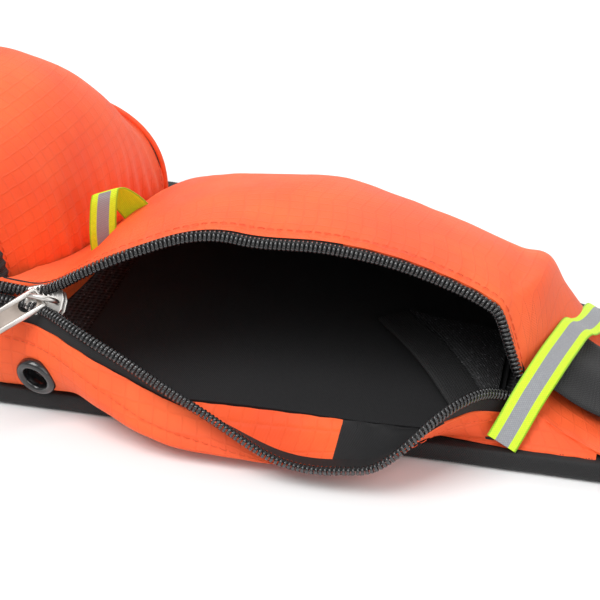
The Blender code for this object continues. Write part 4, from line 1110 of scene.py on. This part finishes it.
def buildPanel():
    end = panel["hingeX"] - panel["inset"]
    step = bindingShape["step"]
    near = resample(np.array([(-end, panel["nearY"], 0.0), (end, panel["nearY"], 0.0)]), step)
    buildBinding("nearBinding", near, "root", ["binding_near"], 2)
    buildBinding("farBinding", panelPath(step), "root", ["binding_far"], 3)
    inset = 0.0085
    xs = np.linspace(-end + 0.0005, end - 0.0005, 340)[:, None]
    v = np.linspace(0, 1, 90)[None, :]
    nearLine = panel["nearY"] + inset
    farLine = farEdge(xs) - inset / math.cos(0.36)
    y = nearLine + (farLine - nearLine) * v
    x = np.broadcast_to(xs, y.shape)
    edge = np.minimum(smooth(v / 0.10), smooth((1 - v) / 0.10)) * smooth((end - np.abs(x)) / 0.010)
    channel = np.zeros_like(y)
    for centre in (-0.150, -0.075, 0.0, 0.075, 0.150):
        channel = np.maximum(channel, np.exp(-((x - centre) / 0.0022) ** 2))
    channel = np.maximum(channel, np.exp(-((y - 0.0) / 0.0022) ** 2) * (np.abs(x) < 0.2))
    topZ = 0.0050 + (panel["padTop"] - 0.0050) * edge
    lowZ = 0.0012 * (1 - edge) + 0.0016 * channel * edge
    lowZ = lowZ + 0.0003 * np.abs(lump(np.stack([x, y, y * 0], -1), 0.02, 31)) * edge
    top = np.stack([x, y, topZ], -1)
    low = np.stack([x, y, lowZ], -1)
    faces = np.concatenate(sheetFaces(*y.shape))
    uvs = np.concatenate([top[..., :2].reshape(-1, 2)] * 2)
    points = np.concatenate([top.reshape(-1, 3), low.reshape(-1, 3)])
    pad = turnOutward(makePiece("backPanel", points, faces.tolist(), airMesh, uvs))
    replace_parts(pad, "back_panel")
    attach(pad, "root")


buildPanel()
print("panel done")


# ---- wings, webbing and hi-vis tape

def ownFinish(node, finish):
    obj = frame["nodes"][node]
    obj.data.materials.clear()
    obj.data.materials.append(finish)


wingShape = {"startX": 0.2465, "tipX": 0.302, "shoulderX": 0.266, "level": 0.0075, "flare": 0.003,
             "margin": 0.003}
belt = {"y": joints["belt_right_bend"]["pos_m"][1], "z": joints["belt_right_bend"]["pos_m"][2],
        "width": 0.038,
        "thick": 0.0015, "pitch": 0.00105, "rib": 0.00016}


def wingPath():
    nearTip = belt["y"] - belt["width"] / 2 - wingShape["margin"]
    farTip = belt["y"] + belt["width"] / 2 + wingShape["margin"]
    start, tip, level = wingShape["startX"], wingShape["tipX"], float(farEdge(panel["hingeX"]))
    shoulder = level + (farTip - level) * 0.55
    nearY = panel["nearY"]
    points = [(start, nearY - wingShape["flare"] / 2),
              (start + wingShape["level"], nearY - wingShape["flare"]),
              (wingShape["shoulderX"] + 0.010, nearY), (tip - 0.004, nearTip), (tip, nearTip + 0.004),
              (tip, farTip - 0.004), (tip - 0.004, farTip), (wingShape["shoulderX"] + 0.004, shoulder),
              (start + wingShape["level"], level - 0.0008), (start, level)]
    return np.array([(x, y, 0.0) for x, y in points])


def softened(path, rounds=2):
    for _ in range(rounds):
        quarter = path[:-1] * 0.75 + path[1:] * 0.25
        three = path[:-1] * 0.25 + path[1:] * 0.75
        path = np.concatenate([path[:1], np.stack([quarter, three], 1).reshape(-1, 3), path[-1:]])
    return path


def buildWing(side, word):
    outline = softened(wingPath())
    body = "wing_" + word
    path = resample(outline, bindingShape["step"])
    if side < 0:
        path = (path * np.array((-1, 1, 1)))[::-1]
    buildBinding(word + "WingBinding", path, body, ["wing_binding_" + word], 5)
    ring = resample(outline, 0.0016)
    middle = np.array((0.262, -0.036, 0.0))
    shares = np.linspace(0, 1, 26)
    levels = np.linspace(ring[-1][1] - 0.003, ring[0][1] + 0.0015, 24)
    hinge = np.array([(panel["hingeX"] - 0.0014, y, 0.0) for y in levels])
    loop = np.concatenate([ring, hinge])
    points, faces = [], []
    for level, sign in ((0.0050, 1), (0.0012, -1)):
        for s in shares:
            rise = level + sign * 0.0007 * math.sin(math.pi * min(1, s * 1.2) * 0.5) * (1 - s * 0.4)
            for p in loop:
                q = p * (1 - s * 0.97) + middle * s * 0.97
                bump = 0.0003 * noise.noise(Vector(q) * 60)
                points.append((side * q[0], q[1], rise + bump * s))
    count = len(loop)
    half = len(shares) * count
    for layer in (0, half):
        for k in range(len(shares) - 1):
            for i in range(count):
                a, b = layer + k * count + i, layer + k * count + (i + 1) % count
                faces.append((a, b, b + count, a + count))
        faces.append(tuple(range(layer + half - count, layer + half)))
    faces += [(i, (i + 1) % count, half + (i + 1) % count, half + i) for i in range(count)]
    uvs = [(p[0], p[1]) for p in points]
    cloth = turnOutward(makePiece(word + "Wing", points, faces, orange, uvs))
    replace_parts(cloth, "wing_" + word)
    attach(cloth, body)


strapLine = {
    # the strap's path from its raw end on the pouch, over the end and down to the wing, as (x, z)
    "end": [(0.2135, 0.0225), (0.2165, 0.0222), (0.2210, 0.0196), (0.2270, 0.0152), (0.2330, 0.0122),
            (0.2375, 0.0108)],
    "wing": [(0.2395, 0.0103), (0.2440, 0.0092), (0.2520, 0.0083), (0.2650, 0.0079), (0.3020, 0.0078)],
}


def strapPiece(name, line, side):
    line = np.array([(x, 0.0, z) for x, z in line])
    path = resample(softened(line, 3), 0.00022)
    path[:, 1] = belt["y"]
    ahead = unit(np.gradient(path, axis=0))
    normal = unit(np.cross(ahead, np.broadcast_to((0, 1.0, 0), path.shape)))
    normal = normal * np.sign(normal[:, 2:])
    across = np.broadcast_to((0, 1.0, 0), path.shape).copy()
    path[:, 0] *= side
    normal = normal * np.array((side, 1, 1))
    return ribbon(name, path, across, normal, belt["width"], belt["thick"], webBlack, belt["pitch"],
                  belt["rib"], 24)


def buildStraps(side, word):
    end = strapPiece(word + "StrapEnd", strapLine["end"], side)
    # its raw end is cut askew, and it sags between the seams
    points = np.array([v.co for v in end.data.vertices])
    level = (points[:, 1] - belt["y"]) / belt["width"]
    points[:, 0] += side * np.clip((0.2330 - np.abs(points[:, 0])) / 0.02, 0, 1) * level * 0.0045
    points[:, 2] += 0.0006 * np.cos(level * math.pi * 3)
    end.data.vertices.foreach_set("co", points.ravel())
    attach(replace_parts(end, "web_end_" + word), "root")
    laid = strapPiece(word + "StrapOnWing", strapLine["wing"], side)
    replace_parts(laid, "web_wing_" + word)
    x0, x1 = strapLine["wing"][1][0] + 0.004, strapLine["wing"][-1][0] - 0.004
    stitchUp = belt["thick"] / 2 + belt["rib"] + 0.0001
    lines = []
    for edge in (-1, 1):
        y = belt["y"] + edge * (belt["width"] / 2 - 0.0022)
        line = np.array([(side * x, y, 0.0) for x in np.linspace(x0, x1, 40)])
        line[:, 2] = np.interp(np.abs(line[:, 0]), *zip(*strapLine["wing"])) + stitchUp
        lines.append((line, (0, 0, 1.0)))
    b0, b1 = x1 - 0.018, x1 - 0.002
    box = [(b0, -1), (b1, -1), (b1, 1), (b0, 1), (b0, -1), (b1, 1)]
    corners = np.array([(side * x, belt["y"] + e * (belt["width"] / 2 - 0.0035), 0.0) for x, e in box])
    corners[:, 2] = strapLine["wing"][-1][1] + stitchUp
    lines.append((resample(corners, 0.001), (0, 0, 1.0)))
    stitches = seamStitches(word + "StrapStitches", lines, 0.0030, blackThread, 7)
    for piece in (laid, stitches):
        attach(piece, "wing_" + word)
    # the short stretch where the belt leaves the wing, from the wing's level to the belt's
    low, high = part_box("web_free_" + word)
    tip, free = strapLine["wing"][-1][0], min(abs(low.x), abs(high.x))
    flexLine = [(tip - 0.0003, strapLine["wing"][-1][1]), ((tip + free) / 2, belt["z"]),
                (free + 0.0004, belt["z"])]
    flex = strapPiece(word + "StrapFlex", flexLine, side)
    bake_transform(flex)
    # the webbing that runs to the buckle is the frame's own solid, given the woven finish
    ownFinish("web_free_" + word, webFlat)


def hiVisRibbon(name, path, across, normal, finish):
    return ribbon(name, path, across, normal, hiVis["width"], hiVis["thick"], finish, 0.0009, 0.00005, 14)


tapeRoute = [(0.2062, -0.0778, 0.0086), (0.2088, -0.0738, 0.0130), (0.2124, -0.0670, 0.0192),
             (0.2160, -0.0610, 0.0242), (0.2185, -0.0500, 0.0240), (0.2212, -0.0380, 0.0230),
             (0.2234, -0.0280, 0.0222), (0.2256, -0.0215, 0.0182), (0.2278, -0.0120, 0.0156),
             (0.2292, -0.0010, 0.0124), (0.2300, 0.0050, 0.0095)]


def buildTape(side, word):
    # hi-vis tape from the near binding over the pouch's end and the strap's raw end to the far binding
    path = resample(softened(np.array(tapeRoute), 3), 0.00025)
    ahead = unit(np.gradient(path, axis=0))
    slope = np.broadcast_to((0.88, 0.0, -0.47), path.shape)
    across = unit(slope - ahead * np.sum(slope * ahead, -1, keepdims=True))
    normal = np.cross(across, ahead)
    normal = normal * np.sign(normal[:, 2:])
    path = path + normal * 0.0003
    for v in (path, across, normal):
        v[:, 0] *= side
    tape = hiVisRibbon(word + "HiVisTape", path, across, normal, hiVisTape)
    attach(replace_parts(tape, "reflective_tape_" + word), "root")


for side, word in bothSides:
    buildWing(side, word)
    buildStraps(side, word)
    buildTape(side, word)
print("belt done")


# ---- loop tab, lining and inner pocket

def buildLoopTab():
    # a folded tape: its front leg shows the stripe, and its back leg the tape's plain side
    low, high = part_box("loop_tab")
    x, front, top = low.x + hiVis["width"] / 2 + 0.0046, low.y, high.z + 0.0022
    route = [(x - 0.0012, front + 0.0022, top - 0.0215), (x - 0.0010, front + 0.0008, top - 0.0140),
             (x, front + 0.0010, top - 0.0030), (x + 0.0004, front + 0.0022, top)]
    back = [(x + 0.0004, front + 0.0022, top), (x + 0.0022, front + 0.0044, top - 0.0004),
            (x + 0.0062, front + 0.0094, top - 0.0070), (x + 0.0098, front + 0.0140, top - 0.0160)]
    legs = []
    fold = np.array((0.94, 0.10, 0.34))
    for line, finish, lean in ((route, hiVisTape, fold), (back, hiVisPlain, np.array((0.80, 0.40, 0.34)))):
        path = resample(softened(np.array(line), 3), 0.00025)
        ahead = unit(np.gradient(path, axis=0))
        share = smooth(np.linspace(0, 1, len(path)))[:, None]
        across = unit(fold * (1 - share) + lean * share)
        normal = unit(np.cross(ahead, across))
        legs.append(hiVisRibbon("leg", path, across, normal, finish))
    tab = joined("loopTab", legs)
    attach(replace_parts(tab, "loop_tab"), "root")


def buildLining():
    low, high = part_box("lining_right")
    x = np.linspace(low.x, high.x, 120)[:, None]
    v = np.linspace(0, 1, 90)[None, :]
    far = farEdge(x) - 0.0185
    near = lowerPivot[1] + 0.0012
    y = near + (far - near) * v
    x = np.broadcast_to(x, y.shape)
    z = np.full_like(y, high.z) + 0.0009 * (lump(np.stack([x, y, y * 0], -1), 0.03, 40) + 0.6)
    grid = np.stack([x, y, z], -1)
    floor = clothSheet("pouchLining", grid, 0.0008, liningGrey, liningGrey)
    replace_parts(floor, "lining_right")
    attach(floor, "root")

    low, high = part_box("inner_elastic")
    a, b = np.array((0.163, -0.014, high.z)), np.array((0.197, -0.066, high.z))
    path = resample(softened(np.array([a, (a + b) / 2 + np.array((0.001, 0, 0.0030)), b]), 3), 0.0002)
    ahead = unit(np.gradient(path, axis=0))
    across = unit(np.cross((0, 0, 1.0), ahead))
    band = ribbon("innerElastic", path, across, np.cross(ahead, across), 0.012, 0.0013, elasticBlack, 0.0009,
                  0.00014, 16)
    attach(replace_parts(band, "inner_elastic"), "root")

    low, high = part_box("inner_mesh")
    s = np.linspace(0, 1, 70)[:, None]
    t = np.linspace(0, 1, 50)[None, :]
    start = a + (b - a) * np.linspace(0, 1, 50)[:, None]
    edge = start[None] + np.array((0.0045, 0.0038, 0.0))
    corner, foot = np.array((high.x, -0.016, high.z)), np.array((high.x, -0.066, high.z))
    away = corner + (foot - corner) * np.linspace(0, 1, 50)[:, None]
    grid = edge * (1 - s[..., None]) + away[None] * s[..., None]
    grid[..., 2] += 0.0016 * np.sin(math.pi * s) * np.sin(math.pi * t) + 0.0006 * lump(grid, 0.012, 44)
    net = clothSheet("innerMeshPocket", grid, 0.0007, netMesh, netMesh)
    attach(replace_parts(net, "inner_mesh"), "root")


buildLoopTab()
buildLining()
print("trim done")


# ---- metal and plastic parts

def bodyFrame(seatName):
    joint = joints[seatName]
    return np.array(joint["pos_m"]), unit(np.array(joint["axis"]))


def buildPull(word):
    # the pull tab: raised rims round a recess painted darker and brownish as a painted reflection of the orange
    # cloth, built flat and laid on its solid's place
    pos, axis = bodyFrame(f"pull_{word}_hinge")
    node = frame["nodes"]["pull_" + word]
    co = np.array([v.co for v in node.data.vertices])
    tip = co[np.argmax(np.linalg.norm(co - pos, axis=1))]
    reach = tip - pos
    reach = unit(reach - axis * (reach @ axis))
    up = unit(np.cross(reach, axis))
    if up[2] < 0:
        up = -up
    side = np.cross(up, reach)
    length, width, thick = pullTab["length"], pullTab["width"], pullTab["thick"]

    turns = np.linspace(-math.pi / 2, math.pi / 2, 14)

    def outline(shrink):
        half = width / 2 - shrink
        head = pullTab["head"] - shrink * 0.6
        back = [(-head * math.cos(t) ** 0.5, half * math.sin(t)) for t in turns]
        end, nose = length - shrink, half * 0.9
        front = [(end - nose + nose * math.cos(t), nose * math.sin(t)) for t in -turns]
        return np.array(back + front)

    def ringAt(shrink, level):
        flat = outline(shrink)
        return pos + flat[:, :1] * reach + flat[:, 1:] * side + level * up

    def slotAt(radius, x0, x1, level):
        a = [(x0 - radius * math.cos(t), radius * math.sin(t)) for t in turns]
        b = [(x1 + radius * math.cos(t), radius * math.sin(t)) for t in -turns]
        flat = np.array(a + b)
        return pos + flat[:, :1] * reach + flat[:, 1:] * side + level * up

    h = thick / 2
    rings = [ringAt(0.0, -h * 0.4), ringAt(0.0, h * 0.4), ringAt(0.0005, h), ringAt(0.0013, h),
             ringAt(0.0017, h * 0.35)]
    low = [ringAt(0.0005, -h), ringAt(0.0013, -h), ringAt(0.0017, -h * 0.35)]
    eye = (0.0022, 0.0030, 0.0046)
    eyeTop, eyeLow = slotAt(*eye, h * 0.35), slotAt(*eye, -h * 0.35)
    order = [eyeLow] + low[::-1] + rings + [eyeTop]
    points, count = np.concatenate(order), len(order[0])
    picks = [1 if k in (0, len(order) - 2) else 0 for k in range(len(order)) for _ in range(count)]
    faces = ringFaces(len(order), count, closed=True)
    tab = turnOutward(makePiece(word + "Pull", points, faces, [nickel, recessReflection], None, picks))
    finishEdges(tab, 0.00025)
    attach(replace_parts(tab, "pull_" + word), "pull_" + word)


def finishEdges(obj, width):
    bevel = obj.modifiers.new("bevel", "BEVEL")
    bevel.width, bevel.segments, bevel.limit_method, bevel.angle_limit = width, 2, "ANGLE", math.radians(25)
    bpy.context.view_layer.update()
    made = bpy.data.meshes.new_from_object(obj.evaluated_get(bpy.context.evaluated_depsgraph_get()))
    obj.modifiers.clear()
    obj.data = made
    made.shade_smooth()
    made.set_sharp_from_angle(angle=math.radians(40))


pullTab = {"length": 0.0326, "head": 0.0012, "width": 0.0076, "thick": 0.0017}
sliderShape = {"length": 0.0125, "half": 0.0052, "nose": 0.0034, "plate": 0.0012, "bail": 0.00085}


def buildSlider(word, side):
    pos, _ = bodyFrame(f"pull_{word}_hinge")
    run = unit(np.array(joints[f"slider_{word}_run"]["axis"])) * (1 if side > 0 else -1)
    across = unit(zipAcross - run * (zipAcross @ run))
    out = np.cross(run, across) * side
    centre = pos + run * 0.0014 - out * 0.0048
    length, half, nose, plate = (sliderShape[k] for k in ("length", "half", "nose", "plate"))

    def plateRing(level, shrink):
        # wide at the end where the halves part, narrow behind
        flat = [(-length / 2 + shrink, -nose + shrink), (-length / 2 + shrink, nose - shrink)]
        flat += [(-length * 0.10, half - shrink), (length * 0.22, half - shrink),
                 (length * 0.40, half * 0.80),
                 (length / 2 - shrink, half * 0.35), (length / 2 - shrink, -half * 0.35),
                 (length * 0.40, -half * 0.80), (length * 0.22, -half + shrink),
                 (-length * 0.10, -half + shrink)]
        flat = np.array(flat)
        return centre + flat[:, :1] * run + flat[:, 1:] * across + level * out

    pieces = []
    for sign in (1, -1):
        base = 0.0016 * sign
        rings = [plateRing(base, 0.0003), plateRing(base + sign * plate * 0.5, 0.0),
                 plateRing(base + sign * plate, 0.0006)]
        count = len(rings[0])
        points = np.concatenate(rings)
        faces = [tuple(range(count)), tuple(range(2 * count, 3 * count))]
        for k in (0, 1):
            faces += [(k * count + i, k * count + (i + 1) % count, (k + 1) * count + (i + 1) % count,
                       (k + 1) * count + i) for i in range(count)]
        pieces.append(turnOutward(makePiece("plate", points, faces, nickel)))
    post = np.array([centre + run * (length * 0.22) + out * z for z in np.linspace(-0.002, 0.002, 3)])
    pieces.append(tube("post", post, 0.0012, nickel, 8))
    arch = []
    for t in np.linspace(0, math.pi, 15):
        arch.append(centre + run * (-math.cos(t) * length * 0.36) + out * (0.0022 + 0.0052 * math.sin(t) ** 0.55))
    pieces.append(tube("bail", np.array(arch), sliderShape["bail"], nickel, 12))
    whole = joined(word + "Slider", pieces)
    turnOutward(whole)
    finishEdges(whole, 0.0003)
    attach(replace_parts(whole, "slider_" + word), "slider_" + word)


def buildEyelet(word, side):
    centre, out, up = eyeletSeat(side)
    level = unit(np.cross(up, out))
    outer, hole = eyeletShape["outer"], eyeletShape["hole"]
    profile = []
    for t in np.linspace(0, math.pi, 12):
        r = (outer + hole) / 2 + (outer - hole) / 2 * math.cos(t)
        profile.append((r, 0.0004 + eyeletShape["rise"] * math.sin(t) ** 0.8))
    profile += [(hole, -0.0030), (hole + 0.0007, -0.0030), (hole + 0.0007, -0.0004), (outer, -0.0006)]
    sides, count = 56, len(profile)
    rings = []
    for k in range(sides):
        a = 2 * math.pi * k / sides
        radial = level * math.cos(a) + up * math.sin(a)
        rings.append([centre + radial * r + out * z for r, z in profile])
    faces = []
    for k in range(sides):
        n = (k + 1) % sides
        faces += [(k * count + i, k * count + (i + 1) % count, n * count + (i + 1) % count, n * count + i)
                  for i in range(count)]
    ring = turnOutward(makePiece(word + "Eyelet", np.array(rings), faces, lacquer))
    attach(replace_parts(ring, "eyelet_" + word), "root")
    ownFinish("eyelet_washer_" + word, lacquer)


for side, word in bothSides:
    buildPull(word)
    buildSlider(word, side)
    buildEyelet(word, side)
for node in ("buckle_socket", "buckle_frame", "prong_near", "prong_far", "keeper"):
    ownFinish(node, buckleBlack)
print("metal and plastic done")


# ---- floor, light and camera

def studio():
    bpy.ops.mesh.primitive_plane_add(size=6, location=(0, 0, -0.0006))
    floor = bpy.context.object
    floor.name = "studioFloor"
    made = Finish("paleFloor", 0.85)
    made.shader.inputs["Base Color"].default_value = (0.86, 0.86, 0.86, 1)
    floor.data.materials.append(made.material)
    world = bpy.data.worlds.new("studioWorld")
    bpy.context.scene.world = world
    world.use_nodes = True
    world.node_tree.nodes["Background"].inputs["Color"].default_value = (1, 1, 1, 1)
    world.node_tree.nodes["Background"].inputs["Strength"].default_value = 0.55
    for name, place, size, power in (("keyLight", (-0.5, -0.6, 1.5), 1.1, 22),
                                     ("fillLight", (1.2, -0.8, 0.9), 1.4, 9),
                                     ("backLight", (0.2, 1.3, 1.0), 1.2, 9)):
        light = bpy.data.lights.new(name, "AREA")
        light.energy, light.size = power, size
        lamp = bpy.data.objects.new(name, light)
        lamp.location = place
        lamp.rotation_euler = (Vector((0.1, 0, 0)) - Vector(place)).to_track_quat("-Z", "Y").to_euler()
        bpy.context.scene.collection.objects.link(lamp)


def setCamera(azimuth=13.0, elevation=30.0, distance=0.55, target=(0.126, 0.006, 0.0), lens=93.4):
    a, e = math.radians(azimuth), math.radians(elevation)
    back = Vector((math.sin(a) * math.cos(e), -math.cos(a) * math.cos(e), math.sin(e)))
    data = bpy.data.cameras.new("viewCamera")
    data.lens, data.sensor_width, data.clip_start = lens, 36.0, 0.01
    camera = bpy.data.objects.new("viewCamera", data)
    camera.location = Vector(target) + back * distance
    camera.rotation_euler = back.to_track_quat("Z", "Y").to_euler()
    bpy.context.scene.collection.objects.link(camera)
    bpy.context.scene.camera = camera


studio()
setCamera()
bpy.context.scene.view_settings.view_transform = "Standard"
print("studio done")
